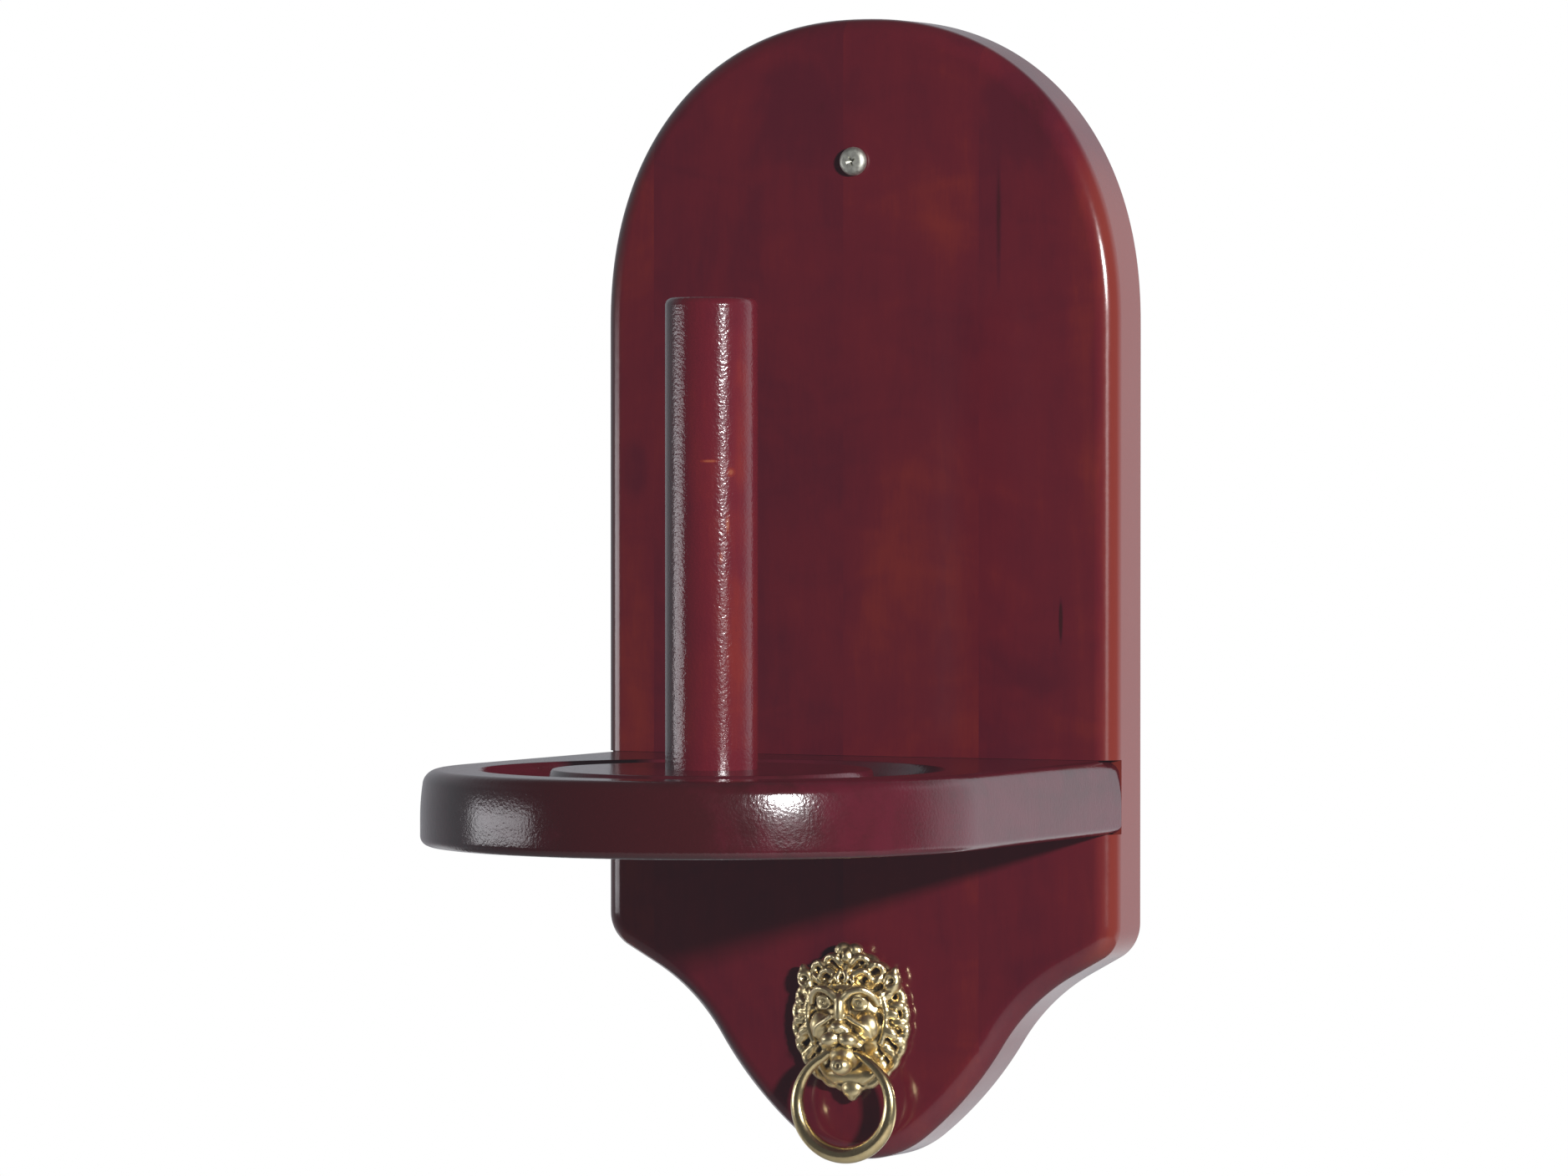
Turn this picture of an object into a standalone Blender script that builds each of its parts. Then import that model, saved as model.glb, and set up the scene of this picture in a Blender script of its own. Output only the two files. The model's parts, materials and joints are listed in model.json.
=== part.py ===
"""Wall-hung holder for a cone of hand chalk, in lacquered hardwood and brass.

Four edge-glued staves make the backboard. A half-round tray with a dust groove is housed in a dado
across its front and carries the post that the cone drops over. Below the tray a brass lion mask holds
a pull ring, for a towel.

The wall is the plane Y = 0 and the board stands in front of it, towards -Y. X = 0 is the centre line,
and Z = 0 is the top of the tray. All lengths are in metres.
"""

from math import atan2, cos, pi, radians, sin, sqrt

import bmesh
import bpy
from mathutils import Matrix, Vector

GAP = 0.0003  # between pieces that touch
CUT_PAST = 0.002  # how far a cutter runs past the surface that it opens

# Backboard
BOARD_WIDTH = 0.157
BOARD_THICKNESS = 0.020
BACK_HEIGHT = 0.2059  # from the top of the tray to the crown of the arch
APRON_HEIGHT = 0.1133  # from the top of the tray down to the tip
ROUND_OVER = 0.006  # on the front edge
ARCH_RISE = 0.0858
ARCH_SQUARENESS = 2.2  # 2 is an ellipse, more is squarer
STAVE_JOINTS = (-0.0625, -0.0035, 0.038)  # where the glue lines are

# Lower edge of the board, one side from the shoulder to the tip
SHOULDER_RADIUS = 0.011
SLOPE_RUN = 0.0089
SLOPE_ANGLE = radians(29)
COVE_RADIUS = 0.0575
FLANK_ANGLE = radians(57.7)
FLANK_RADIUS = 0.108
TIP_ANGLE = radians(38.5)
TIP_RADIUS = 0.0305

# Tray
TRAY_THICKNESS = 0.0204
TRAY_TOP_ROUND = 0.0035
TRAY_BOTTOM_ROUND = 0.0025
DADO_DEPTH = 0.0063
POST_FROM_WALL = 0.1111
GROOVE_RADIUS = 0.053  # to the middle of the dust groove
GROOVE_WIDTH = 0.019
GROOVE_DEPTH = 0.007

# Post
POST_DIAMETER = 0.025
POST_HEIGHT = 0.127  # above the tray
POST_TOP_ROUND = 0.0022
POST_FOOT_CHAMFER = 0.001
MORTISE_DEPTH = 0.0115

# Wood screws: shank diameter, head diameter, length
TRAY_SCREW = (0.004, 0.008, 0.040)
TRAY_SCREW_SPREAD = 0.045  # each side of the centre line
POST_SCREW = (0.004, 0.008, 0.035)
WALL_SCREW = (0.0042, 0.008, 0.050)
WALL_SCREW_FROM_CROWN = 0.0399
PAN_HEAD_HEIGHT = 0.0026
POINT_LENGTH = 0.006
HEAD_LAND = 0.0003  # the upright edge of a countersunk head
HEAD_SUNK = 0.0004  # a countersunk head below the wood
MOUTH_LAND = 0.001  # the upright part of a countersink
RECESS_DEPTH = 0.0014
RECESS_ARM = 0.27  # a cross recess, as shares of the head's diameter
RECESS_HALF_SLOT = 0.07

# Lion mask and the machine screw that holds it from behind
MASK_ABOVE_TIP = 0.0393  # the mask's centre over the board's tip
MASK_HALF_WIDTH = 0.0183
MASK_HALF_HEIGHT = 0.0205
MANE_THICKNESS = 0.0036
MANE_LOBES = 15
MANE_LOBE_DEPTH = 0.0007
MASK_SCREW = (0.004, 0.008)  # thread and head diameter
MACHINE_POINT = 0.0005
THREAD_ENGAGEMENT = 0.005
COUNTERBORE_DIAMETER = 0.011
COUNTERBORE_DEPTH = 0.0065
WASHER_THICKNESS = 0.0008

# Pull ring
RING_RADIUS = 0.0143  # to the middle of its wire
RING_FROM_BOARD = 0.007  # the pivot's axis in front of the board
RING_PIVOT_DROP = 0.0086  # the pivot below the mask's centre
RING_WIRE_THICK = 0.0048  # at the bottom
RING_WIRE_THIN = 0.0024  # at the ends, which are also the pivots
RING_END_ANGLE = radians(27)  # from straight up, where the wire meets the muzzle
PIVOT_SAG = 0.0001  # of the wire, from the pivot to its first bend
PIVOT_INSET = 0.0021  # of each pivot's end from the centre line
PIVOT_CLEARANCE = 0.0003
MOUTH_HALF_WIDTH = 0.0043  # of the muzzle between the mouth's corners
CORNER_RADIUS = 0.0029  # of the room for the wire at each corner

FACE_Y = -BOARD_THICKNESS
MASK_Z = MASK_ABOVE_TIP - APRON_HEIGHT
PIVOT_Y = FACE_Y - RING_FROM_BOARD
PIVOT_Z = MASK_Z - RING_PIVOT_DROP
TRAY_REAR_Y = FACE_Y + DADO_DEPTH - GAP
POST_Y = -POST_FROM_WALL
TRAY_MIDDLE_Z = -TRAY_THICKNESS / 2

FRONT_TO_WORLD = Matrix.Rotation(radians(90), 4, "X")  # local XY drawn upright, local +Z facing front
FACING_BACK = (radians(-90), 0, 0)  # local +Z turned to +Y
FACING_FRONT = (radians(90), 0, 0)  # local +Z turned to -Y
FACING_DOWN = (radians(180), 0, 0)


# Scene and materials


def empty_scene():
    for old in list(bpy.data.objects):
        bpy.data.objects.remove(old, do_unlink=True)


def new_collection(name):
    made = bpy.data.collections.new(name)
    bpy.context.scene.collection.children.link(made)
    return made


def new_material(name, colour, roughness, metallic=0.0):
    made = bpy.data.materials.new(name)
    made.use_nodes = True
    shader = made.node_tree.nodes["Principled BSDF"]
    shader.inputs["Base Color"].default_value = (*colour, 1.0)
    shader.inputs["Roughness"].default_value = roughness
    shader.inputs["Metallic"].default_value = metallic
    return made


def add_part(name, data, material_of_part):
    part = bpy.data.objects.new(name, data)
    parts.objects.link(part)
    data.materials.append(material_of_part)
    return part


def add_cutter(name, data):
    cutter = bpy.data.objects.new(name, data)
    cutters.objects.link(cutter)
    cutter.hide_render = True
    cutter.display_type = "WIRE"
    return cutter


def combine(target, other, operation="DIFFERENCE"):
    modifier = target.modifiers.new(other.name, "BOOLEAN")
    modifier.operation = operation
    modifier.object = other
    modifier.solver = "EXACT"


# Meshes


def smooth(mesh, angle=35):
    mesh.shade_smooth()
    mesh.set_sharp_from_angle(angle=radians(angle))


def flat_solid(name, points, thickness):
    """A closed solid with this outline in XY, centred on Z = 0."""
    curve = bpy.data.curves.new(name, "CURVE")
    curve.dimensions = "2D"
    curve.fill_mode = "BOTH"
    curve.extrude = thickness / 2
    spline = curve.splines.new("POLY")
    spline.points.add(len(points) - 1)
    for point, (x, y) in zip(spline.points, points):
        point.co = (x, y, 0, 1)
    spline.use_cyclic_u = True
    holder = bpy.data.objects.new(name, curve)
    parts.objects.link(holder)
    seen = holder.evaluated_get(bpy.context.evaluated_depsgraph_get())
    mesh = bpy.data.meshes.new_from_object(seen)
    mesh.name = name
    bpy.data.objects.remove(holder)
    shape = bmesh.new()
    shape.from_mesh(mesh)
    bmesh.ops.remove_doubles(shape, verts=shape.verts, dist=0.00001)
    bmesh.ops.dissolve_limit(
        shape, angle_limit=radians(0.5), verts=shape.verts, edges=shape.edges, delimit={"NORMAL"}
    )
    bmesh.ops.recalc_face_normals(shape, faces=shape.faces)
    shape.to_mesh(mesh)
    shape.free()
    return mesh


def mark_rims(mesh, top_weight, bottom_weight):
    """Gives the edges of the outline a bevel weight, at the solid's top and at its bottom."""
    weights = mesh.attributes.new("bevel_weight_edge", "FLOAT", "EDGE")
    for edge in mesh.edges:
        ends = [mesh.vertices[v].co.z for v in edge.vertices]
        if abs(ends[0] - ends[1]) < 1e-6:
            weights.data[edge.index].value = top_weight if ends[0] > 0 else bottom_weight


def round_rims(part, radius, segments):
    modifier = part.modifiers.new("Round-over", "BEVEL")
    modifier.limit_method = "WEIGHT"
    modifier.width = radius
    modifier.segments = segments
    modifier.use_clamp_overlap = False


def box_mesh(name, low, high):
    shape = bmesh.new()
    bmesh.ops.create_cube(shape, size=1)
    low, high = Vector(low), Vector(high)
    bmesh.ops.scale(shape, vec=high - low, verts=shape.verts)
    bmesh.ops.translate(shape, vec=(low + high) / 2, verts=shape.verts)
    mesh = bpy.data.meshes.new(name)
    shape.to_mesh(mesh)
    shape.free()
    return mesh


def rod_mesh(name, radius, start, end, sides=32):
    """A closed cylinder between two points."""
    start, end = Vector(start), Vector(end)
    turn = (end - start).to_track_quat("Z", "Y").to_matrix().to_4x4()
    shape = bmesh.new()
    bmesh.ops.create_cone(
        shape,
        cap_ends=True,
        segments=sides,
        radius1=radius,
        radius2=radius,
        depth=(end - start).length,
        matrix=Matrix.Translation((start + end) / 2) @ turn,
    )
    mesh = bpy.data.meshes.new(name)
    shape.to_mesh(mesh)
    shape.free()
    return mesh


def ball_mesh(name, centre, radii, sides=16):
    shape = bmesh.new()
    bmesh.ops.create_uvsphere(shape, u_segments=sides, v_segments=sides // 2, radius=1)
    bmesh.ops.scale(shape, vec=radii, verts=shape.verts)
    bmesh.ops.translate(shape, vec=centre, verts=shape.verts)
    mesh = bpy.data.meshes.new(name)
    shape.to_mesh(mesh)
    shape.free()
    return mesh


def turned_mesh(name, profile, steps=32):
    """A turned solid about Z. The profile runs from its top to its bottom, and starts and ends at X = 0."""
    mesh = bpy.data.meshes.new(name)
    rows = [(x, 0, z) for x, z in profile]
    mesh.from_pydata(rows, [(i, i + 1) for i in range(len(rows) - 1)], [])
    holder = bpy.data.objects.new(name, mesh)
    cutters.objects.link(holder)
    lathe = holder.modifiers.new("Lathe", "SCREW")
    lathe.steps = steps
    lathe.render_steps = steps
    lathe.use_merge_vertices = True
    lathe.merge_threshold = 0.00002
    seen = holder.evaluated_get(bpy.context.evaluated_depsgraph_get())
    turned = bpy.data.meshes.new_from_object(seen)
    turned.name = name
    bpy.data.objects.remove(holder)
    smooth(turned)
    return turned


def arc(centre_x, centre_z, radius, start, end, count):
    angles = [start + (end - start) * i / count for i in range(count + 1)]
    return [(centre_x + radius * cos(a), centre_z + radius * sin(a)) for a in angles]


# Backboard


def walk_arc(points, heading, new_heading, radius, count=10):
    """Goes on from the last point along an arc. A heading is an angle below the level, towards X = 0."""
    side = 1 if heading > new_heading else -1
    x, z = points[-1]
    centre_x = x - side * radius * sin(heading)
    centre_z = z + side * radius * cos(heading)
    for i in range(1, count + 1):
        now = heading + (new_heading - heading) * i / count
        points.append((centre_x + side * radius * sin(now), centre_z - side * radius * cos(now)))


def lower_edge():
    """The right half of the board's lower edge, from the shoulder to the tip.

    The cove, the flank and the tip keep their proportions as the board's width changes.
    """
    half = BOARD_WIDTH / 2
    shoulder_run = SHOULDER_RADIUS * (1 - sin(SLOPE_ANGLE))
    cove_run = COVE_RADIUS * (sin(FLANK_ANGLE) - sin(SLOPE_ANGLE))
    flank_run = FLANK_RADIUS * (sin(FLANK_ANGLE) - sin(TIP_ANGLE))
    tip_run = TIP_RADIUS * sin(TIP_ANGLE)
    size = (half - shoulder_run - SLOPE_RUN) / (cove_run + flank_run + tip_run)
    points = [(half, 0.0)]
    walk_arc(points, pi / 2, SLOPE_ANGLE, SHOULDER_RADIUS)
    x, z = points[-1]
    points.append((x - SLOPE_RUN, z - SLOPE_RUN * sin(SLOPE_ANGLE) / cos(SLOPE_ANGLE)))
    walk_arc(points, SLOPE_ANGLE, FLANK_ANGLE, COVE_RADIUS * size)
    walk_arc(points, FLANK_ANGLE, TIP_ANGLE, FLANK_RADIUS * size, 6)
    walk_arc(points, TIP_ANGLE, 0, TIP_RADIUS * size)
    drop = -APRON_HEIGHT - points[-1][1]
    return [(x, z + drop) for x, z in points]


def arch(count=48):
    """The top edge, from the right side over the crown to the left."""
    spring = BACK_HEIGHT - ARCH_RISE
    points = []
    for i in range(count + 1):
        along, up = cos(pi * i / count), sin(pi * i / count)
        reach = abs(along) ** (2 / ARCH_SQUARENESS) * (1 if along > 0 else -1)
        lift = max(up, 0) ** (2 / ARCH_SQUARENESS)
        points.append((BOARD_WIDTH / 2 * reach, spring + ARCH_RISE * lift))
    return points


def board_mesh(name):
    right = lower_edge()
    left = [(-x, z) for x, z in right[:-1]]
    outline = arch() + left + right[::-1]
    mesh = flat_solid(name, outline, BOARD_THICKNESS)
    mark_rims(mesh, 1.0, 0.0)
    mesh.transform(Matrix.Translation((0, FACE_Y / 2, 0)) @ FRONT_TO_WORLD)
    smooth(mesh)
    return mesh


def stave_spans():
    """The left and right side of each stave. Neighbours stand half a gap from their glue line."""
    past = BOARD_WIDTH
    lines = [-past, *STAVE_JOINTS, past]
    return [(left + GAP / 2, right - GAP / 2) for left, right in zip(lines, lines[1:])]


def add_staves():
    names = ("backboard_stave_left", "backboard_stave_inner_left")
    names += ("backboard_stave_inner_right", "backboard_stave_right")
    dado_z = (-TRAY_THICKNESS - GAP, GAP)
    reach = BOARD_WIDTH
    dado = add_cutter(
        "dado",
        box_mesh("dado", (-reach, 2 * FACE_Y, dado_z[0]), (reach, FACE_Y + DADO_DEPTH, dado_z[1])),
    )
    staves = []
    for name, (left, right) in zip(names, stave_spans()):
        stave = add_part(name, board_mesh(name), wood)
        round_rims(stave, ROUND_OVER, 5)
        span_name = name + "_span"
        low = (left, 2 * FACE_Y, -2 * APRON_HEIGHT)
        high = (right, BOARD_THICKNESS, 2 * BACK_HEIGHT)
        span = add_cutter(span_name, box_mesh(span_name, low, high))
        combine(stave, span, "INTERSECT")
        combine(stave, dado)
        staves.append(stave)
    return staves


def cut_staves(staves, cutter, x, radius):
    """Cuts the staves that a round hole at this X meets."""
    for stave, (left, right) in zip(staves, stave_spans()):
        if left < x + radius and right > x - radius:
            combine(stave, cutter)


# Screws, made head up along Z with the seat of the head at Z = 0


def countersunk_mesh(name, shank, head, length):
    """The head's flat top is at Z = 0 and its sides slope at 45 degrees."""
    cone = (head - shank) / 2
    profile = [(0, 0), (head / 2, 0), (head / 2, -HEAD_LAND), (shank / 2, -HEAD_LAND - cone)]
    profile += [(shank / 2, POINT_LENGTH - length), (0, -length)]
    return turned_mesh(name, profile, 20)


def pan_profile(head):
    """A domed head over Z = 0, from its top centre to the edge of its seat."""
    radius = head / 2
    crown = (radius**2 + PAN_HEAD_HEIGHT**2) / (2 * PAN_HEAD_HEIGHT)
    edge = atan2(PAN_HEAD_HEIGHT - crown, radius)
    return [(max(x, 0), z) for x, z in arc(0, PAN_HEAD_HEIGHT - crown, crown, pi / 2, -edge, 6)]


def pan_mesh(name, shank, head, length, point):
    profile = pan_profile(head)
    profile += [(shank / 2, 0), (shank / 2, point - length), (0, -length)]
    return turned_mesh(name, profile, 24)


def cross_mesh(name, head, top):
    """A cross recess in a head whose top is at this height."""
    arm, half = head * RECESS_ARM, head * RECESS_HALF_SLOT
    corner = [(arm, half), (half, half), (half, arm)]
    outline = []
    for quarter in range(4):
        turn = Matrix.Rotation(quarter * pi / 2, 2)
        outline += [tuple(turn @ Vector(p)) for p in corner]
    mesh = flat_solid(name, outline, 2 * RECESS_DEPTH)
    mesh.transform(Matrix.Translation((0, 0, top)))
    return mesh


def add_screw(name, mesh, head, top, place, turn):
    screw = add_part(name, mesh, steel)
    recess = add_cutter(name + "_recess", cross_mesh(name + "_recess", head, top))
    combine(screw, recess)
    for piece in (screw, recess):
        piece.location = place
        piece.rotation_euler = turn
    return screw


def countersink(name, shank, head, start, end):
    """A clearance hole from start to end, opened out for a countersunk head at its start."""
    reach = (Vector(end) - Vector(start)).length
    hole = shank / 2 + GAP
    mouth = head / 2 + GAP
    profile = [(0, CUT_PAST), (mouth, CUT_PAST), (mouth, -MOUTH_LAND), (hole, -MOUTH_LAND - mouth + hole)]
    profile += [(hole, -reach), (0, -reach)]
    cutter = add_cutter(name, turned_mesh(name, profile, 24))
    cutter.location = start
    direction = Vector(start) - Vector(end)
    cutter.rotation_euler = direction.to_track_quat("Z", "Y").to_euler()
    return cutter


# Tray and post


def tray_mesh():
    half = BOARD_WIDTH / 2
    outline = arc(0, POST_Y, half, -pi, 0, 48)
    outline += [(half, TRAY_REAR_Y), (-half, TRAY_REAR_Y)]
    mesh = flat_solid("tray", outline, TRAY_THICKNESS)
    mark_rims(mesh, 1.0, TRAY_BOTTOM_ROUND / TRAY_TOP_ROUND)
    mesh.transform(Matrix.Translation((0, 0, TRAY_MIDDLE_Z)))
    smooth(mesh)
    return mesh


def groove_cutter():
    bpy.ops.mesh.primitive_torus_add(
        major_radius=GROOVE_RADIUS, minor_radius=GROOVE_WIDTH / 2, major_segments=64, minor_segments=20
    )
    ring = bpy.context.object
    ring.data.transform(Matrix.Diagonal((1, 1, 2 * GROOVE_DEPTH / GROOVE_WIDTH, 1)))
    mesh = ring.data
    bpy.data.objects.remove(ring)
    cutter = add_cutter("dust_groove", mesh)
    cutter.location = (0, POST_Y, 0)
    return cutter


def add_tray():
    tray = add_part("tray", tray_mesh(), wood)
    round_rims(tray, TRAY_TOP_ROUND, 4)
    combine(tray, groove_cutter())
    mortise = rod_mesh(
        "mortise", POST_DIAMETER / 2 + GAP, (0, POST_Y, CUT_PAST), (0, POST_Y, -MORTISE_DEPTH), 48
    )
    combine(tray, add_cutter("mortise", mortise))
    shank, head, _ = POST_SCREW
    below = (0, POST_Y, -TRAY_THICKNESS)
    above = (0, POST_Y, -MORTISE_DEPTH + CUT_PAST)
    combine(tray, countersink("post_screw_hole", shank, head, below, above))
    shank, _, length = TRAY_SCREW
    for side in (-1, 1):
        x = side * TRAY_SCREW_SPREAD
        start = (x, 0, TRAY_MIDDLE_Z)
        end = (x, -length - 2 * GAP, TRAY_MIDDLE_Z)
        name = "tray_screw_pilot_" + side_name(side)
        combine(tray, add_cutter(name, rod_mesh(name, shank / 2 + GAP, start, end, 20)))


def side_name(side):
    return "left" if side < 0 else "right"


def add_post():
    radius = POST_DIAMETER / 2
    foot = -MORTISE_DEPTH + GAP
    profile = [(0, POST_HEIGHT)]
    profile += arc(radius - POST_TOP_ROUND, POST_HEIGHT - POST_TOP_ROUND, POST_TOP_ROUND, pi / 2, 0, 5)
    profile += [(radius, foot + POST_FOOT_CHAMFER), (radius - POST_FOOT_CHAMFER, foot), (0, foot)]
    post = add_part("post", turned_mesh("post", profile, 48), wood)
    post.location = (0, POST_Y, 0)
    shank, _, length = POST_SCREW
    tip = length - TRAY_THICKNESS + 2 * GAP
    pilot = rod_mesh("post_pilot", shank / 2 + GAP, (0, POST_Y, 2 * foot), (0, POST_Y, tip), 20)
    combine(post, add_cutter("post_pilot", pilot))


def add_wood_screws(staves):
    shank, head, length = POST_SCREW
    mesh = countersunk_mesh("post_screw", shank, head, length)
    place = (0, POST_Y, -TRAY_THICKNESS + HEAD_SUNK)
    add_screw("post_screw", mesh, head, 0, place, FACING_DOWN)

    shank, head, length = TRAY_SCREW
    for side in (-1, 1):
        name = "tray_screw_" + side_name(side)
        x = side * TRAY_SCREW_SPREAD
        mesh = countersunk_mesh(name, shank, head, length)
        add_screw(name, mesh, head, 0, (x, -HEAD_SUNK, TRAY_MIDDLE_Z), FACING_BACK)
        start, end = (x, 0, TRAY_MIDDLE_Z), (x, 2 * FACE_Y, TRAY_MIDDLE_Z)
        cut_staves(staves, countersink(name + "_hole", shank, head, start, end), x, head / 2 + GAP)


def add_wall_screw(staves):
    shank, head, length = WALL_SCREW
    z = BACK_HEIGHT - WALL_SCREW_FROM_CROWN
    mesh = pan_mesh("wall_screw", shank, head, length, POINT_LENGTH)
    add_screw("wall_screw", mesh, head, PAN_HEAD_HEIGHT, (0, FACE_Y - GAP, z), FACING_FRONT)
    hole = rod_mesh("wall_screw_hole", shank / 2 + GAP, (0, -FACE_Y, z), (0, 2 * FACE_Y, z), 24)
    cut_staves(staves, add_cutter("wall_screw_hole", hole), 0, shank / 2 + GAP)


# Brass


def mane_outline(count=90):
    points = []
    for i in range(count):
        angle = 2 * pi * i / count
        lobe = MANE_LOBE_DEPTH * abs(cos(MANE_LOBES * (angle - pi / 2) / 2))
        across, up = cos(angle), sin(angle)
        radius = 1 / sqrt((across / MASK_HALF_WIDTH) ** 2 + (up / MASK_HALF_HEIGHT) ** 2)
        points.append(((radius + lobe) * across, (radius + lobe) * up))
    return points


def mask_forms():
    """The masses of the head: name, centre across, in front of the board and up, and half sizes."""
    return (
        ("face", (0, 0.0030, 0.0015), (0.0128, 0.0062, 0.0150)),
        ("brow_left", (-0.0058, 0.0070, 0.0058), (0.0052, 0.0034, 0.0030)),
        ("brow_right", (0.0058, 0.0070, 0.0058), (0.0052, 0.0034, 0.0030)),
        ("cheek_left", (-0.0075, 0.0052, -0.0035), (0.0045, 0.0034, 0.0048)),
        ("cheek_right", (0.0075, 0.0052, -0.0035), (0.0045, 0.0034, 0.0048)),
        ("nose", (0, 0.0080, 0.0010), (0.0032, 0.0046, 0.0070)),
        ("muzzle", (0, 0.0072, -0.0077), (0.0055, 0.0055, 0.0048)),
        ("tongue", (0, 0.0085, -0.0135), (0.0030, 0.0042, 0.0030)),
        ("chin", (0, 0.0030, -0.0165), (0.0062, 0.0024, 0.0038)),
        ("beard", (0.0005, 0.0022, -0.0205), (0.0035, 0.0019, 0.0022)),
        ("ear_left", (-0.0150, 0.0026, 0.0115), (0.0034, 0.0026, 0.0044)),
        ("ear_right", (0.0150, 0.0026, 0.0115), (0.0034, 0.0026, 0.0044)),
        ("crown", (0, 0.0030, 0.0188), (0.0048, 0.0030, 0.0034)),
        ("curl_left", (-0.0082, 0.0034, 0.0165), (0.0042, 0.0028, 0.0034)),
        ("curl_right", (0.0082, 0.0034, 0.0165), (0.0042, 0.0028, 0.0034)),
    )


def add_mask(staves):
    back = FACE_Y - GAP
    mesh = flat_solid("lion_mask", mane_outline(), MANE_THICKNESS)
    mesh.transform(Matrix.Translation((0, back - MANE_THICKNESS / 2, MASK_Z)) @ FRONT_TO_WORLD)
    smooth(mesh)
    mask = add_part("lion_mask", mesh, brass)
    for form, (across, front, up), radii in mask_forms():
        centre = (across, back - front, MASK_Z + up)
        lump = add_cutter("mask_" + form, ball_mesh("mask_" + form, centre, radii))
        combine(mask, lump, "UNION")
    wide, high = 2 * MASK_HALF_WIDTH, 2 * MASK_HALF_HEIGHT
    behind = box_mesh("mask_back", (-wide, back, MASK_Z - high), (wide, 0, MASK_Z + high))
    combine(mask, add_cutter("mask_back", behind))

    bore = RING_WIRE_THIN / 2 + PIVOT_CLEARANCE
    pivot = rod_mesh("pivot_hole", bore, (-wide, PIVOT_Y, PIVOT_Z), (wide, PIVOT_Y, PIVOT_Z), 20)
    combine(mask, add_cutter("pivot_hole", pivot))
    for side in (-1, 1):
        name = "mouth_corner_" + side_name(side)
        start = (side * MOUTH_HALF_WIDTH, PIVOT_Y, PIVOT_Z)
        end = (side * wide, PIVOT_Y, PIVOT_Z)
        combine(mask, add_cutter(name, rod_mesh(name, CORNER_RADIUS, start, end, 20)))

    thread, head = MASK_SCREW
    tip_y = FACE_Y - THREAD_ENGAGEMENT
    hole_radius = thread / 2 + GAP
    tapped = rod_mesh("tapped_hole", hole_radius, (0, FACE_Y / 2, MASK_Z), (0, tip_y - 2 * GAP, MASK_Z), 20)
    combine(mask, add_cutter("tapped_hole", tapped))
    through = rod_mesh("mask_screw_hole", hole_radius, (0, -FACE_Y, MASK_Z), (0, 2 * FACE_Y, MASK_Z), 20)
    cut_staves(staves, add_cutter("mask_screw_hole", through), 0, hole_radius)
    counterbore = rod_mesh(
        "counterbore", COUNTERBORE_DIAMETER / 2, (0, -FACE_Y, MASK_Z), (0, -COUNTERBORE_DEPTH, MASK_Z)
    )
    cut_staves(staves, add_cutter("counterbore", counterbore), 0, COUNTERBORE_DIAMETER / 2)

    washer_mesh = rod_mesh(
        "mask_washer",
        COUNTERBORE_DIAMETER / 2 - GAP,
        (0, -COUNTERBORE_DEPTH + GAP + WASHER_THICKNESS, MASK_Z),
        (0, -COUNTERBORE_DEPTH + GAP, MASK_Z),
    )
    washer = add_part("mask_washer", washer_mesh, steel)
    eye = rod_mesh("washer_eye", hole_radius, (0, -FACE_Y, MASK_Z), (0, FACE_Y, MASK_Z), 20)
    combine(washer, add_cutter("washer_eye", eye))

    seat_y = -COUNTERBORE_DEPTH + WASHER_THICKNESS + 2 * GAP
    screw_mesh = pan_mesh("mask_screw", thread, head, seat_y - tip_y, MACHINE_POINT)
    add_screw("mask_screw", screw_mesh, head, PAN_HEAD_HEIGHT, (0, seat_y, MASK_Z), FACING_BACK)


def ring_points():
    """The ring's middle line about its pivot, left end to right end, with the wire's radius at each."""
    bend_x = MOUTH_HALF_WIDTH + GAP
    points = [(-PIVOT_INSET, 0.0), (-bend_x, -PIVOT_SAG)]
    count = 44
    for i in range(count + 1):
        angle = -RING_END_ANGLE - 2 * (pi - RING_END_ANGLE) * i / count  # clockwise from straight up
        points.append((RING_RADIUS * sin(angle), RING_RADIUS * (cos(angle) - 1)))
    points += [(bend_x, -PIVOT_SAG), (PIVOT_INSET, 0.0)]
    thin, thick = RING_WIRE_THIN / 2, RING_WIRE_THICK / 2
    sized = []
    for x, z in points:
        depth = min(max(-z / (2 * RING_RADIUS), 0), 1)
        sized.append((x, z, thin + (thick - thin) * depth ** 0.75))
    return sized


def add_ring():
    curve = bpy.data.curves.new("pull_ring", "CURVE")
    curve.dimensions = "3D"
    curve.bevel_depth = 1.0
    curve.bevel_resolution = 4
    curve.use_fill_caps = True
    points = ring_points()
    spline = curve.splines.new("POLY")
    spline.points.add(len(points) - 1)
    for point, (x, z, wire) in zip(spline.points, points):
        point.co = (x, 0, z, 1)
        point.radius = wire
    ring = add_part("pull_ring", curve, brass)
    ring.location = (0, PIVOT_Y, PIVOT_Z)


empty_scene()
parts = new_collection("chalk_cone_holder")
cutters = new_collection("cutters")
wood = new_material("mahogany_lacquer", (0.098, 0.016, 0.018), 0.22)
brass = new_material("polished_brass", (0.72, 0.56, 0.27), 0.22, 1.0)
steel = new_material("zinc_plated_steel", (0.56, 0.55, 0.52), 0.35, 1.0)

board_staves = add_staves()
add_tray()
add_post()
add_wood_screws(board_staves)
add_wall_screw(board_staves)
add_mask(board_staves)
add_ring()
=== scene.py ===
"""Looks of a wall-hung holder for a cone of hand chalk: stained and lacquered hardwood, polished brass.

It is put together in a joiner's order: backboard, tray, post, screws, then the brass mask and its ring.
Lengths are in metres. The wall is Y = 0, the room is towards -Y, and Z = 0 is the top of the tray.
"""

import json
from math import atan2, cos, hypot, pi, radians, sin, tan

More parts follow.
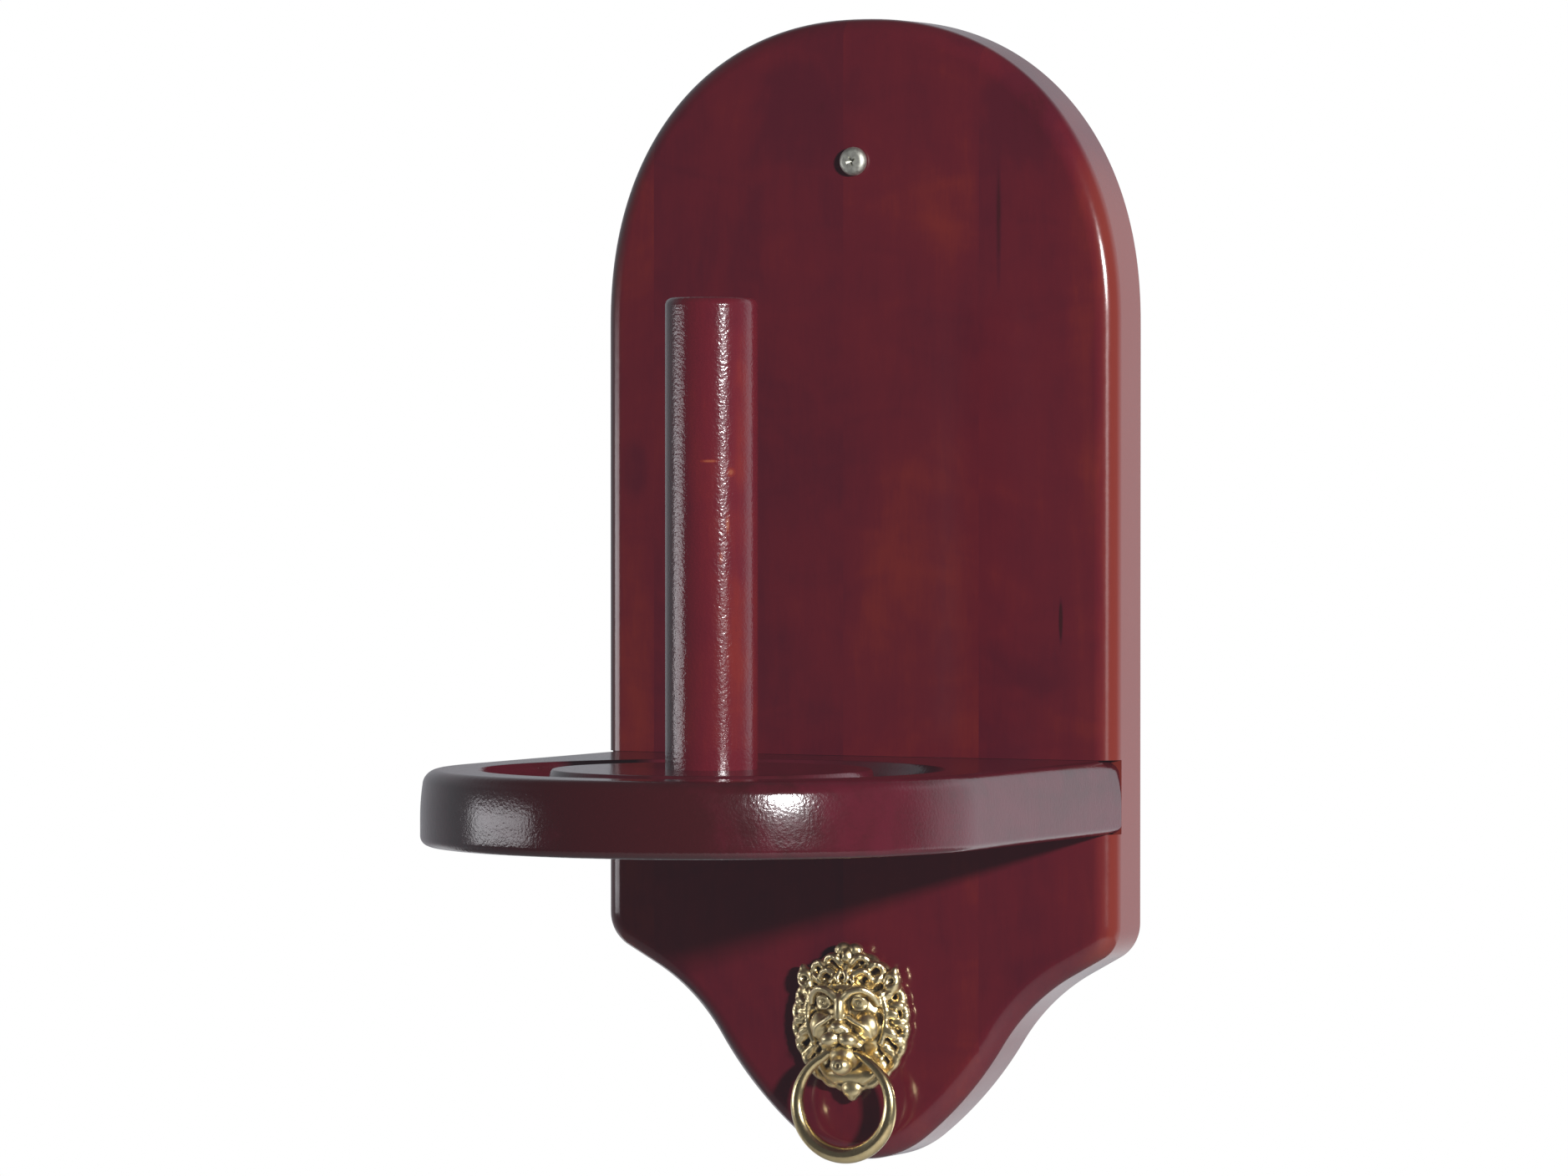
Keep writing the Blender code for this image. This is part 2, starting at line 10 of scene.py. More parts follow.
import bmesh
import bpy
import numpy as np
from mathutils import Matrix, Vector


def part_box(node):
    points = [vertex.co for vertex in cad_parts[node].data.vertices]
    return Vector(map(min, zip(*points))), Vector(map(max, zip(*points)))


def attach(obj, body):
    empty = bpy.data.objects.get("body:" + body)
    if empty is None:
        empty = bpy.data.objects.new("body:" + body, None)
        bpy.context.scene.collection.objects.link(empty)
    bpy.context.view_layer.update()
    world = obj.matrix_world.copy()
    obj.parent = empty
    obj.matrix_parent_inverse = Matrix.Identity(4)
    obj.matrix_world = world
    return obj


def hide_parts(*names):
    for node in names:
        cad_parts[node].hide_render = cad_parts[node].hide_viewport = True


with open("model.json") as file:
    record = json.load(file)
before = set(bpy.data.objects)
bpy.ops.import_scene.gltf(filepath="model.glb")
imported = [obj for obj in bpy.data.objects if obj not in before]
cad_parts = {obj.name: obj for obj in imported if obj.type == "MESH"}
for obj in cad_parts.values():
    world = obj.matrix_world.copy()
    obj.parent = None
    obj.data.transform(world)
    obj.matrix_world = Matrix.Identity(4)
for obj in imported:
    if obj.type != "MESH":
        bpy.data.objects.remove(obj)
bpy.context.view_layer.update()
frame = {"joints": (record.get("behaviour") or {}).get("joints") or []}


# ---------------------------------------------------------------- Backboard
# Four staves of close-grained hardwood, edge-glued, sawn to an arch above and an ogee below, rounded
# over along the front and trenched across for the tray. Stained mahogany and sprayed with gloss lacquer.

MM = 0.001
# Each stave's tone, where in its plank it was cut, and its marks: middle, half size and how much lighter.
STAVES = {
    "backboard_stave_left": (
        0.52,
        0.30,
        (((-70, -20, 10), (9, 40, 70), 0.35), ((-69, -20, 80), (5, 30, 11), -0.50)),
    ),
    "backboard_stave_inner_left": (
        0.29,
        1.70,
        (
            ((-19, -20, 178), (17, 30, 19), -0.42),
            ((-30, -20, 148), (4, 30, 24), -0.25),
            ((-42, -20, 60), (14, 30, 60), 0.10),
            ((-15, -20, 34), (17, 30, 36), 0.26),
        ),
    ),
    "backboard_stave_inner_right": (
        0.41,
        3.10,
        (
            ((27, -20, 150), (13, 30, 24), 0.30),
            ((10, -20, 108), (15, 30, 26), 0.25),
            ((14, -20, 62), (19, 30, 30), 0.32),
            ((4, -20, 32), (10, 30, 24), 0.24),
            ((22, -20, -52), (24, 30, 42), -0.24),
        ),
    ),
    "backboard_stave_right": (
        0.33,
        4.90,
        (
            ((50, -20, 180), (13, 30, 20), -0.60),
            ((44, -20, 148), (0.9, 30, 20), -0.90),
            ((62.8, -20, 38), (0.8, 30, 7), -2.20),
            ((70, -20, 140), (9, 30, 40), 0.40),
            ((71, -20, 50), (8, 30, 90), 0.25),
            ((54, -20, 30), (12, 30, 14), -0.20),
        ),
    ),
}
STAVE_BOXES = [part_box(name) for name in STAVES]
BOARD_LEFT = STAVE_BOXES[0][0].x
BOARD_RIGHT = STAVE_BOXES[-1][1].x
BOARD_HALF = (BOARD_RIGHT - BOARD_LEFT) / 2
BOARD_FRONT = STAVE_BOXES[1][0].y
BOARD_THICKNESS = -BOARD_FRONT
BOARD_TOP = max(high.z for low, high in STAVE_BOXES)
BOARD_TIP = min(low.z for low, high in STAVE_BOXES)
GLUE_LINES = [(a[1].x + b[0].x) / 2 for a, b in zip(STAVE_BOXES, STAVE_BOXES[1:])]
ROUND_OVER = 6.0 * MM
BACK_ROUND_OVER = 0.8 * MM
ARCH_RISE = 85.8 * MM
ARCH_SQUARENESS = 2.2
SHOULDER_RADIUS = 11.0 * MM
SLOPE_RUN = 8.9 * MM
SLOPE_ANGLE = radians(29)
COVE_RADIUS = 57.5 * MM
FLANK_ANGLE = radians(57.7)
FLANK_RADIUS = 108.0 * MM
TIP_ANGLE = radians(38.5)
TIP_RADIUS = 30.5 * MM
FIT = 0.05 * MM  # the room in a tight joint


def start_clean():
    if bpy.context.object and bpy.context.object.mode != "OBJECT":
        bpy.ops.object.mode_set(mode="OBJECT")
    bpy.ops.object.select_all(action="DESELECT")


def take(piece):
    """Makes this the one selected and active object."""
    start_clean()
    piece.select_set(True)
    bpy.context.view_layer.objects.active = piece
    return piece


def edit(piece, kind="VERT"):
    """Opens a piece in edit mode with nothing selected."""
    take(piece)
    bpy.ops.object.mode_set(mode="EDIT")
    bpy.ops.mesh.select_mode(type=kind)
    bpy.ops.mesh.select_all(action="DESELECT")


def pick_edges(wanted):
    """Selects the edges of the open mesh that pass a test."""
    mesh = bpy.context.object.data
    for edge in bmesh.from_edit_mesh(mesh).edges:
        edge.select_set(wanted(edge))
    bmesh.update_edit_mesh(mesh)


def close():
    bpy.ops.object.mode_set(mode="OBJECT")


def settle(piece):
    """Puts a piece's place, turn and size into its mesh."""
    take(piece)
    bpy.ops.object.transform_apply(location=True, rotation=True, scale=True)
    return piece


def tidy_mesh(piece, distance=0.002 * MM):
    """Merges doubled points and turns every face outwards."""
    edit(piece)
    bpy.ops.mesh.select_all(action="SELECT")
    bpy.ops.mesh.remove_doubles(threshold=distance)
    bpy.ops.mesh.normals_make_consistent(inside=False)
    close()
    return piece


def apply(piece, kind, **settings):
    """Adds one modifier and applies it."""
    take(piece)
    modifier = piece.modifiers.new(kind.title(), kind)
    for name, value in settings.items():
        setattr(modifier, name, value)
    bpy.ops.object.modifier_apply(modifier=modifier.name)


def carve(piece, tool):
    """Cuts a piece with a tool and throws the tool away."""
    apply(piece, "BOOLEAN", object=tool, operation="DIFFERENCE", solver="EXACT")
    bpy.data.objects.remove(tool)


def rod(start, end, radius, sides=48):
    """A round tool between two points."""
    start_clean()
    start, end = Vector(start), Vector(end)
    turn = (end - start).to_track_quat("Z", "Y").to_euler()
    bpy.ops.mesh.primitive_cylinder_add(
        vertices=sides, radius=radius, depth=(end - start).length, location=(start + end) / 2, rotation=turn
    )
    return settle(bpy.context.object)


def block(low, high):
    """A square tool between two corners."""
    start_clean()
    low, high = Vector(low), Vector(high)
    bpy.ops.mesh.primitive_cube_add(size=1, location=(low + high) / 2, scale=high - low)
    return settle(bpy.context.object)


def sawn(name, outline, thickness):
    """A board of this outline in X and Y, centred on Z = 0, with one face on each side."""
    start_clean()
    drawing = bpy.data.curves.new(name, "CURVE")
    drawing.dimensions = "2D"
    drawing.fill_mode = "BOTH"
    drawing.extrude = thickness / 2
    spline = drawing.splines.new("POLY")
    spline.points.add(len(outline) - 1)
    for point, (x, y) in zip(spline.points, outline):
        point.co = (x, y, 0, 1)
    spline.use_cyclic_u = True
    board = bpy.data.objects.new(name, drawing)
    bpy.context.scene.collection.objects.link(board)
    take(board)
    bpy.ops.object.convert(target="MESH")
    board = tidy_mesh(bpy.context.object)
    edit(board, "FACE")
    bpy.ops.mesh.select_all(action="SELECT")
    bpy.ops.mesh.dissolve_limited(angle_limit=radians(0.2))
    close()
    return board


def soften(piece, level, radius, segments):
    """Rounds the rim of a sawn board that lies at this level of Z."""
    edit(piece, "EDGE")
    pick_edges(lambda e: len(e.link_faces) == 2 and all(abs(v.co.z - level) < 0.01 * MM for v in e.verts))
    bpy.ops.mesh.bevel(offset=radius, segments=segments, profile=0.5, affect="EDGES", clamp_overlap=False)
    close()


def ease_shading(piece, angle=32):
    """Smooth shading that keeps flat faces flat and sharp edges sharp."""
    take(piece)
    bpy.ops.object.shade_smooth_by_angle(angle=radians(angle))
    apply(piece, "WEIGHTED_NORMAL", keep_sharp=True, weight=100)


def swing_arc(points, heading, new_heading, radius, count):
    """Goes on along an arc. A heading is an angle below the level, towards the centre line."""
    side = 1 if heading > new_heading else -1
    x, z = points[-1]
    centre_x = x - side * radius * sin(heading)
    centre_z = z + side * radius * cos(heading)
    for i in range(1, count + 1):
        now = heading + (new_heading - heading) * i / count
        points.append((centre_x + side * radius * sin(now), centre_z - side * radius * cos(now)))


def ogee():
    """The right half of the lower edge, from the shoulder to the tip."""
    points = [(BOARD_HALF, 0.0)]
    swing_arc(points, pi / 2, SLOPE_ANGLE, SHOULDER_RADIUS, 14)
    x, z = points[-1]
    points.append((x - SLOPE_RUN, z - SLOPE_RUN * tan(SLOPE_ANGLE)))
    swing_arc(points, SLOPE_ANGLE, FLANK_ANGLE, COVE_RADIUS, 24)
    swing_arc(points, FLANK_ANGLE, TIP_ANGLE, FLANK_RADIUS, 16)
    swing_arc(points, TIP_ANGLE, 0, TIP_RADIUS, 18)
    drop = BOARD_TIP - points[-1][1]
    return [(x, z + drop) for x, z in points[:-1]] + [(0.0, BOARD_TIP)]


def arch(count=120):
    """The top edge, from right to left over the crown."""
    spring = BOARD_TOP - ARCH_RISE
    points = []
    for i in range(count + 1):
        across, up = cos(pi * i / count), max(sin(pi * i / count), 0)
        reach = abs(across) ** (2 / ARCH_SQUARENESS) * (1 if across > 0 else -1)
        lift = up ** (2 / ARCH_SQUARENESS)
        points.append((BOARD_HALF * reach, spring + ARCH_RISE * lift))
    return points


class Signal:
    """A value or colour that runs between nodes, with plain arithmetic on values."""

    def __init__(self, owner, socket):
        self.owner = owner
        self.socket = socket

    def maths(self, operation, *values):
        return self.owner.node("ShaderNodeMath", {"operation": operation}, dict(enumerate(values)))

    def __add__(self, other):
        return self.maths("ADD", self, other)

    def __sub__(self, other):
        return self.maths("SUBTRACT", self, other)

    def __rsub__(self, other):
        return self.maths("SUBTRACT", other, self)

    def __mul__(self, other):
        return self.maths("MULTIPLY", self, other)

    def __abs__(self):
        return self.maths("ABSOLUTE", self)

    __radd__ = __add__
    __rmul__ = __mul__


class Nodes:
    """The nodes of a material or of the world."""

    def __init__(self, tree):
        self.tree = tree

    def node(self, kind, settings, sockets, output=0):
        made = self.tree.nodes.new(kind)
        for key, value in settings.items():
            if key == "stops":
                while len(made.color_ramp.elements) < len(value):
                    made.color_ramp.elements.new(0.5)
                for element, (place, colour) in zip(made.color_ramp.elements, value):
                    element.position = place
                    element.color = (*colour, 1)
            else:
                setattr(made, key, value)
        for key, value in sockets.items():
            if isinstance(value, Signal):
                self.tree.links.new(value.socket, made.inputs[key])
            else:
                made.inputs[key].default_value = value
        return Signal(self, made.outputs[output])

    def between(self, signal, low, high, interpolation="SMOOTHSTEP"):
        """Maps low..high to 0..1, clamped."""
        sockets = {"Value": signal, "From Min": low, "From Max": high}
        return self.node("ShaderNodeMapRange", {"interpolation_type": interpolation}, sockets)

    def mix(self, share, first, second):
        """From the first colour to the second, by share."""
        return self.node("ShaderNodeMix", {"data_type": "RGBA"}, {0: share, 6: first, 7: second}, 2)

    def axis(self, where, index):
        """X, Y or Z of a place or a direction."""
        return self.node("ShaderNodeSeparateXYZ", {}, {0: where}, index)


class Finish(Nodes):
    """A material with one Principled shader, and the nodes that feed it."""

    def __init__(self, name, **shader_values):
        self.material = bpy.data.materials.new(name)
        self.material.use_nodes = True
        super().__init__(self.material.node_tree)
        self.shader = self.tree.nodes["Principled BSDF"]
        for key, value in shader_values.items():
            self.shader.inputs[key.replace("_", " ")].default_value = value

    def feed(self, socket, signal):
        self.tree.links.new(signal.socket, self.shader.inputs[socket])

    def place(self):
        return self.node("ShaderNodeTexCoord", {}, {}, "Object")

    def stretched(self, scale, offset):
        sockets = {"Vector": self.place(), "Location": offset, "Scale": scale}
        return self.node("ShaderNodeMapping", {}, sockets)

    def noise(self, where, scale=1.0, detail=2.0, roughness=0.5, distortion=0.0):
        sockets = {"Vector": where, "Scale": scale, "Detail": detail}
        sockets.update({"Roughness": roughness, "Distortion": distortion})
        return self.node("ShaderNodeTexNoise", {}, sockets)

    def bump(self, height, distance):
        sockets = {"Height": height, "Distance": distance, "Strength": 1.0}
        self.feed("Normal", self.node("ShaderNodeBump", {}, sockets))


STAIN_DEEP = (0.076, 0.0048, 0.0124, 1)
STAIN_MID = (0.103, 0.0064, 0.0130, 1)
STAIN_WARM = (0.152, 0.0140, 0.0116, 1)
STAIN_THIN = (0.172, 0.0240, 0.0150, 1)  # where the edges were sanded and took less stain
STAIN_SOAKED = (0.036, 0.0034, 0.0046, 1)
BARE = (0.230, 0.055, 0.026, 1)  # where a scratch goes through the stain
ALONG_Y = (1, 0.14, 1)  # how a pattern is drawn out along the grain
ALONG_Z = (1, 1, 0.14)
MARK_FULL = 0.25  # a mark is full this far from its middle, as a share of its half size
MARK_FADES = 1.15
RIM_AHEAD = 0.5 * MM  # the sanded rim starts this far ahead of the board's front
RIM_BEHIND = 2.2 * MM  # and is full this far behind it
RIM_INSIDE = 14.0 * MM  # it starts this far in from the board's side
RIM_OUTSIDE = 2.0 * MM  # and is full this far in
RIM_RAGGED = 2.0 * MM
RIM_SANDED = 0.9
LACQUER_PEEL = 0.010
LACQUER_WAVE = 0.045


def lacquered_wood(name, tone, plank, draw, marks, peel, nibs, sanded_rim=False):
    """Mahogany stain under gloss lacquer. Each mark is a middle and half sizes, in millimetres, and how
    much lighter it makes the wood. Peel and nibs are the heights of the lacquer's ripple and dust."""
    wood = Finish(name, IOR=1.5)
    shift = (plank, plank * 0.7, plank * 1.3)

    def drawn(scale, stretch, detail, roughness=0.55, distortion=0.0):
        """Noise of this scale, stretched along the grain, or squeezed where stretch is negative."""
        where = wood.stretched([scale * d**stretch for d in draw], shift)
        return wood.noise(where, detail=detail, roughness=roughness, distortion=distortion)

    cloud = drawn(20, 0.35, 4, distortion=1.4)
    curl = drawn(34, -0.4, 3, roughness=0.5, distortion=1.0)
    streak = drawn(170, 1, 4, distortion=0.4)
    fibre = drawn(1100, 1, 3)
    pore = drawn(2600, 1, 1)
    shade = (cloud - 0.5) * 1.7 + (curl - 0.5) * 0.7 + (streak - 0.5) * 0.55 + (fibre - 0.5) * 0.30 + tone
    for middle, half, lighter in marks:
        centred = [-m / h for m, h in zip(middle, half)]
        spread = wood.stretched([1 / (h * MM) for h in half], centred)
        away = wood.node("ShaderNodeVectorMath", {"operation": "LENGTH"}, {0: spread}, "Value")
        shade = shade + wood.between(away + (cloud - 0.5) * 1.2, MARK_FADES, MARK_FULL) * lighter
    colour = wood.mix(wood.between(shade, -0.10, 0.55), STAIN_DEEP, STAIN_MID)
    colour = wood.mix(wood.between(shade, 0.45, 1.15), colour, STAIN_WARM)
    colour = wood.mix(wood.between(shade, -0.15, -0.95), colour, STAIN_SOAKED)
    colour = wood.mix(wood.between(shade, 1.30, 2.10), colour, BARE)
    colour = wood.mix(wood.between(pore, 0.68, 0.76) * 0.30, colour, STAIN_DEEP)
    if sanded_rim:
        across, behind = wood.axis(wood.place(), 0), wood.axis(wood.place(), 1)
        ragged = behind + (streak - 0.5) * RIM_RAGGED
        rim = wood.between(ragged, BOARD_FRONT - RIM_AHEAD, BOARD_FRONT + RIM_BEHIND)
        rim = rim * wood.between(abs(across), BOARD_HALF - RIM_INSIDE, BOARD_HALF - RIM_OUTSIDE)
        colour = wood.mix(rim * RIM_SANDED, colour, STAIN_THIN)
    wood.feed("Base Color", colour)
    ripple = wood.noise(wood.place(), 430, detail=2)
    wave = wood.noise(wood.place(), 70, detail=1)
    dust = wood.noise(wood.place(), 1150, detail=2, roughness=0.55)
    wood.feed("Roughness", ripple * 0.06 + fibre * 0.05 + 0.10)
    wood.bump(ripple * peel + wave * LACQUER_WAVE + dust * nibs, 1.0 * MM)
    return wood.material


def dress(piece, node, body, material):
    """Gives a piece its material, its name and its place in the assembly."""
    piece.name = node + "_finished"
    piece.data.name = piece.name
    piece.data.materials.clear()
    piece.data.materials.append(material)
    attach(piece, body)
    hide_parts(node)


TRAY_LOW, TRAY_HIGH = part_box("tray")
WASHER_LOW, WASHER_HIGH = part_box("mask_washer")
WASHER_RADIUS = (WASHER_HIGH.x - WASHER_LOW.x) / 2
WASHER_ROOM = 0.3 * MM
CLEAR_HOLE = 2.4 * MM
SUNK_MOUTH = 4.3 * MM
BEHIND = 1.0 * MM  # how far a drill or a cutter starts outside the wood

right_side = ogee()
left_side = [(-x, z) for x, z in right_side[:-1]]
board = sawn("backboard", arch() + left_side + right_side[::-1], BOARD_THICKNESS)
soften(board, BOARD_THICKNESS / 2, ROUND_OVER, 10)
soften(board, -BOARD_THICKNESS / 2, BACK_ROUND_OVER, 3)
board.rotation_euler = (pi / 2, 0, 0)
board.location.y = BOARD_FRONT / 2
settle(board)
trench_low = (BOARD_LEFT * 2, BOARD_FRONT * 2, TRAY_LOW.z - FIT)
carve(board, block(trench_low, (BOARD_RIGHT * 2, TRAY_HIGH.y + FIT, TRAY_HIGH.z + FIT)))


def screw_axis(node):
    """The middle of a screw's box, which lies on its axis."""
    low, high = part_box(node)
    return (low + high) / 2


def drill(x, z, radius, start_y, end_y):
    """Bores a hole in the board from behind."""
    carve(board, rod((x, start_y, z), (x, end_y, z), radius))


def countersink(piece, mouth, inward):
    """Cuts a 45 degree cone into a piece, from a little outside its mouth."""
    start_clean()
    reach = SUNK_MOUTH + BEHIND
    bpy.ops.mesh.primitive_cone_add(
        vertices=48,
        radius1=reach,
        radius2=0,
        depth=reach,
        location=mouth + inward * (SUNK_MOUTH - BEHIND) / 2,
        rotation=inward.to_track_quat("Z", "Y").to_euler(),
    )
    carve(piece, settle(bpy.context.object))


MASK_Z = screw_axis("mask_screw").z
drill(0, screw_axis("wall_screw").z, CLEAR_HOLE, BEHIND, 2 * BOARD_FRONT)
drill(0, MASK_Z, CLEAR_HOLE, BEHIND, 2 * BOARD_FRONT)
drill(0, MASK_Z, WASHER_RADIUS + WASHER_ROOM, BEHIND, WASHER_LOW.y - FIT)
for screw in ("tray_screw_left", "tray_screw_right"):
    middle = screw_axis(screw)
    drill(middle.x, middle.z, CLEAR_HOLE, BEHIND, BOARD_FRONT)
    countersink(board, Vector((middle.x, 0, middle.z)), Vector((0, -1, 0)))
tidy_mesh(board)

for index, (node, (tone, plank, marks)) in enumerate(STAVES.items()):
    take(board)
    bpy.ops.object.duplicate()
    stave = bpy.context.object
    for side, lines in ((-1, GLUE_LINES[:index][-1:]), (1, GLUE_LINES[index:][:1])):
        for line in lines:
            edit(stave)
            bpy.ops.mesh.select_all(action="SELECT")
            bpy.ops.mesh.bisect(
                plane_co=(line, 0, 0),
                plane_no=(side, 0, 0),
                use_fill=True,
                clear_outer=True,
                threshold=0.001 * MM,
            )
            close()
    tidy_mesh(stave)
    ease_shading(stave)
    stave_wood = lacquered_wood(node, tone, plank, ALONG_Z, marks, LACQUER_PEEL, 0.0, sanded_rim=True)
    dress(stave, node, "holder", stave_wood)
bpy.data.objects.remove(board)


# ---------------------------------------------------------------- Tray
# One half-round board, planed and rounded over, with a coved ring turned in its top to catch chalk dust.
# Its square end is glued and screwed into the trench across the backboard.

POST_LOW, POST_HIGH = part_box("post")
POST_Y = (POST_LOW.y + POST_HIGH.y) / 2
POST_RADIUS = (POST_HIGH.x - POST_LOW.x) / 2
TRAY_HALF = (TRAY_HIGH.x - TRAY_LOW.x) / 2
TRAY_THICKNESS = TRAY_HIGH.z - TRAY_LOW.z
TRAY_TOP_ROUND = 3.5 * MM
TRAY_BOTTOM_ROUND = 2.5 * MM
FULLEST = 7.5 * MM  # the height of the crown on the edge, above the underside
CROWN_RADIUS = 62.0 * MM
CROWN_LEVELS = 9
GROOVE_RADIUS = 53.0 * MM
GROOVE_HALF = 9.5 * MM
GROOVE_DEPTH = 7.0 * MM
GROOVE_TOP = 2.0 * MM  # the cutter reaches this far above the tray
LIP_SPREAD = 1.1 * MM
LIP_SHAPE = ((1.0, 0.12), (0.42, -0.10), (0.08, -0.62))  # share of the spread, height in millimetres
LIP_ENDS = -1.3 * MM
MORTISE_FLOOR = POST_LOW.z - 0.2 * MM
TRAY_MARKS = (((-15, -192, -10), (75, 40, 60), -0.45),)


def turned(name, profile, steps, centre=(0, 0, 0)):
    """A turned piece about Z through centre. The profile is (radius, height) pairs."""
    start_clean()
    mesh = bpy.data.meshes.new(name)
    mesh.from_pydata([(r, 0, z) for r, z in profile], [(i, i + 1) for i in range(len(profile) - 1)], [])
    piece = bpy.data.objects.new(name, mesh)
    bpy.context.scene.collection.objects.link(piece)
    edit(piece)
    bpy.ops.mesh.select_all(action="SELECT")
    bpy.ops.mesh.spin(steps=steps, angle=2 * pi, axis=(0, 0, 1), center=(0, 0, 0))
    close()
    piece.location = centre
    settle(piece)
    return tidy_mesh(piece, 0.001 * MM)


def rounded(r, z, radius, start, end, count):
    """Points of an arc about (r, z)."""
    angles = [start + (end - start) * i / count for i in range(count + 1)]
    return [(r + radius * cos(a), z + radius * sin(a)) for a in angles]


def groove_profile(count=28):
    """The cove with eased lips, closed above the tray."""
    lip = [(GROOVE_RADIUS - GROOVE_HALF - LIP_SPREAD * share, height * MM) for share, height in LIP_SHAPE]
    cove = []
    for i in range(count + 1):
        t = pi * i / count
        cove.append((GROOVE_RADIUS - GROOVE_HALF * cos(t), -GROOVE_DEPTH * sin(t)))
    outline = [(lip[0][0], GROOVE_TOP)] + lip + [p for p in cove if p[1] < LIP_ENDS]
    outline += [(2 * GROOVE_RADIUS - r, z) for r, z in lip[::-1]]
    outline.append((outline[-1][0], GROOVE_TOP))
    return outline + outline[:1]


def crown_edge(piece):
    """Sands the curved rim and the sides to a slight crown, fullest a little below mid-height."""
    lowest, highest = TRAY_LOW.z + TRAY_BOTTOM_ROUND, TRAY_HIGH.z - TRAY_TOP_ROUND
    for level in np.linspace(lowest, highest, CROWN_LEVELS)[1:-1]:
        edit(piece)
        bpy.ops.mesh.select_all(action="SELECT")
        bpy.ops.mesh.bisect(plane_co=(0, 0, level), plane_no=(0, 0, 1))
        close()
    for vertex in piece.data.vertices:
        x, y, z = vertex.co
        rise = z - (TRAY_LOW.z + FULLEST)
        out = Vector((x, min(y - POST_Y, 0), 0))
        if out.length > TRAY_HALF - 2 * TRAY_TOP_ROUND and rise > 0:
            vertex.co -= out.normalized() * rise**2 / (2 * CROWN_RADIUS)


outline = rounded(0, POST_Y, TRAY_HALF, -pi, 0, 120)
outline += [(TRAY_HALF, TRAY_HIGH.y), (-TRAY_HALF, TRAY_HIGH.y)]
tray = sawn("tray", outline, TRAY_THICKNESS)
soften(tray, TRAY_THICKNESS / 2, TRAY_TOP_ROUND, 8)
soften(tray, -TRAY_THICKNESS / 2, TRAY_BOTTOM_ROUND, 6)
tray.location.z = -TRAY_THICKNESS / 2
settle(tray)
crown_edge(tray)
carve(tray, turned("cove", groove_profile(), 160, (0, POST_Y, 0)))
carve(tray, rod((0, POST_Y, BEHIND), (0, POST_Y, MORTISE_FLOOR), POST_RADIUS + FIT, 96))
carve(tray, rod((0, POST_Y, 0), (0, POST_Y, 2 * TRAY_LOW.z), CLEAR_HOLE))
countersink(tray, Vector((0, POST_Y, TRAY_LOW.z)), Vector((0, 0, 1)))
for screw in ("tray_screw_left", "tray_screw_right"):
    middle = screw_axis(screw)
    point_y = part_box(screw)[0].y
    carve(tray, rod((middle.x, 0, middle.z), (middle.x, point_y - MM, middle.z), CLEAR_HOLE))
tidy_mesh(tray)
ease_shading(tray)
TRAY_WOOD = lacquered_wood("tray", -0.44, 7.7, ALONG_Y, TRAY_MARKS, peel=0.022, nibs=0.058)
dress(tray, "tray", "holder", TRAY_WOOD)


# ---------------------------------------------------------------- Post
# A length of dowel with its top edge rounded, glued into a mortise in the tray and held by a screw
# from below. The chalk cone's bore drops over it.

POST_TOP_ROUND = 2.2 * MM
POST_CHAMFER = 1.0 * MM
BORE_PAST_SCREW = 1.0 * MM
POST_MARKS = (
    ((5.0, -123, 83), (3.0, 6, 0.55), 1.60),
    ((9.6, -119, 80), (1.0, 6, 1.5), 1.30),
    ((9.0, -120, 66), (0.55, 6, 3.2), 1.50),
    ((7.6, -121, 57), (0.6, 6, 2.0), 1.30),
    ((10.5, -118, 30), (2.5, 9, 28), 0.30),
    ((11.5, -117, 95), (2.0, 9, 26), 0.35),
    ((-2.0, -123, 62), (3.0, 9, 40), -0.25),
)
top, foot = POST_HIGH.z, POST_LOW.z
profile = [(0, top), (POST_RADIUS * 0.45, top)]
profile += rounded(POST_RADIUS - POST_TOP_ROUND, top - POST_TOP_ROUND, POST_TOP_ROUND, pi / 2, 0, 9)
profile += [(POST_RADIUS, top * share) for share in (0.66, 0.33, 0)]
profile += [(POST_RADIUS, foot + POST_CHAMFER), (POST_RADIUS - POST_CHAMFER, foot), (0, foot)]
post = turned("post", profile, 96, (0, POST_Y, 0))
bored_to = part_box("post_screw")[1].z + BORE_PAST_SCREW
carve(post, rod((0, POST_Y, foot - MM), (0, POST_Y, bored_to), CLEAR_HOLE, 32))
tidy_mesh(post)
ease_shading(post)
POST_WOOD = lacquered_wood("post", 0.47, 11.3, ALONG_Z, POST_MARKS, peel=0.020, nibs=0.092)
dress(post, "post", "holder", POST_WOOD)


# ---------------------------------------------------------------- Screws and washer
# Zinc-plated steel. One pan-head screw hangs the board on the wall. Countersunk screws hold the tray
# and the post, and a machine screw with a washer holds the brass mask from behind.

BACKWARD = (-pi / 2, 0, 0)
FORWARD = (pi / 2, 0, 0)
DOWNWARD = (pi, 0, 0)
HEAD_RADIUS = 4.0 * MM
PAN_HEIGHT = 2.6 * MM
PAN_SHOULDER = 1.7 * MM
PAN_RIM = 0.2 * MM
PAN_FLAT = 0.28  # the flat of a pan head, as a share of its radius
SUNK_LAND = 0.3 * MM
SUNK_EDGE = 0.1 * MM
RECESS_TIP = 0.25 * MM  # the recess is cut by a cone on its point, half sunk in the head
RECESS_MOUTH = 4.0 * MM
RECESS_TALL = 3.0 * MM
RECESS_ARM = 0.24  # an arm's width, as a share of its length
RECESS_TURN = radians(20)
SHANK_CORE = 0.92  # the blank under the thread, as a share of the shank
THREAD_STARTS = 0.3 * MM  # below the neck
THREAD_RING = 0.25 * MM
THREAD_ROOT = 0.74
THREAD_SLOPE = 3.2
WOOD_PITCH = 1.6 * MM
WOOD_POINT = 6.0 * MM
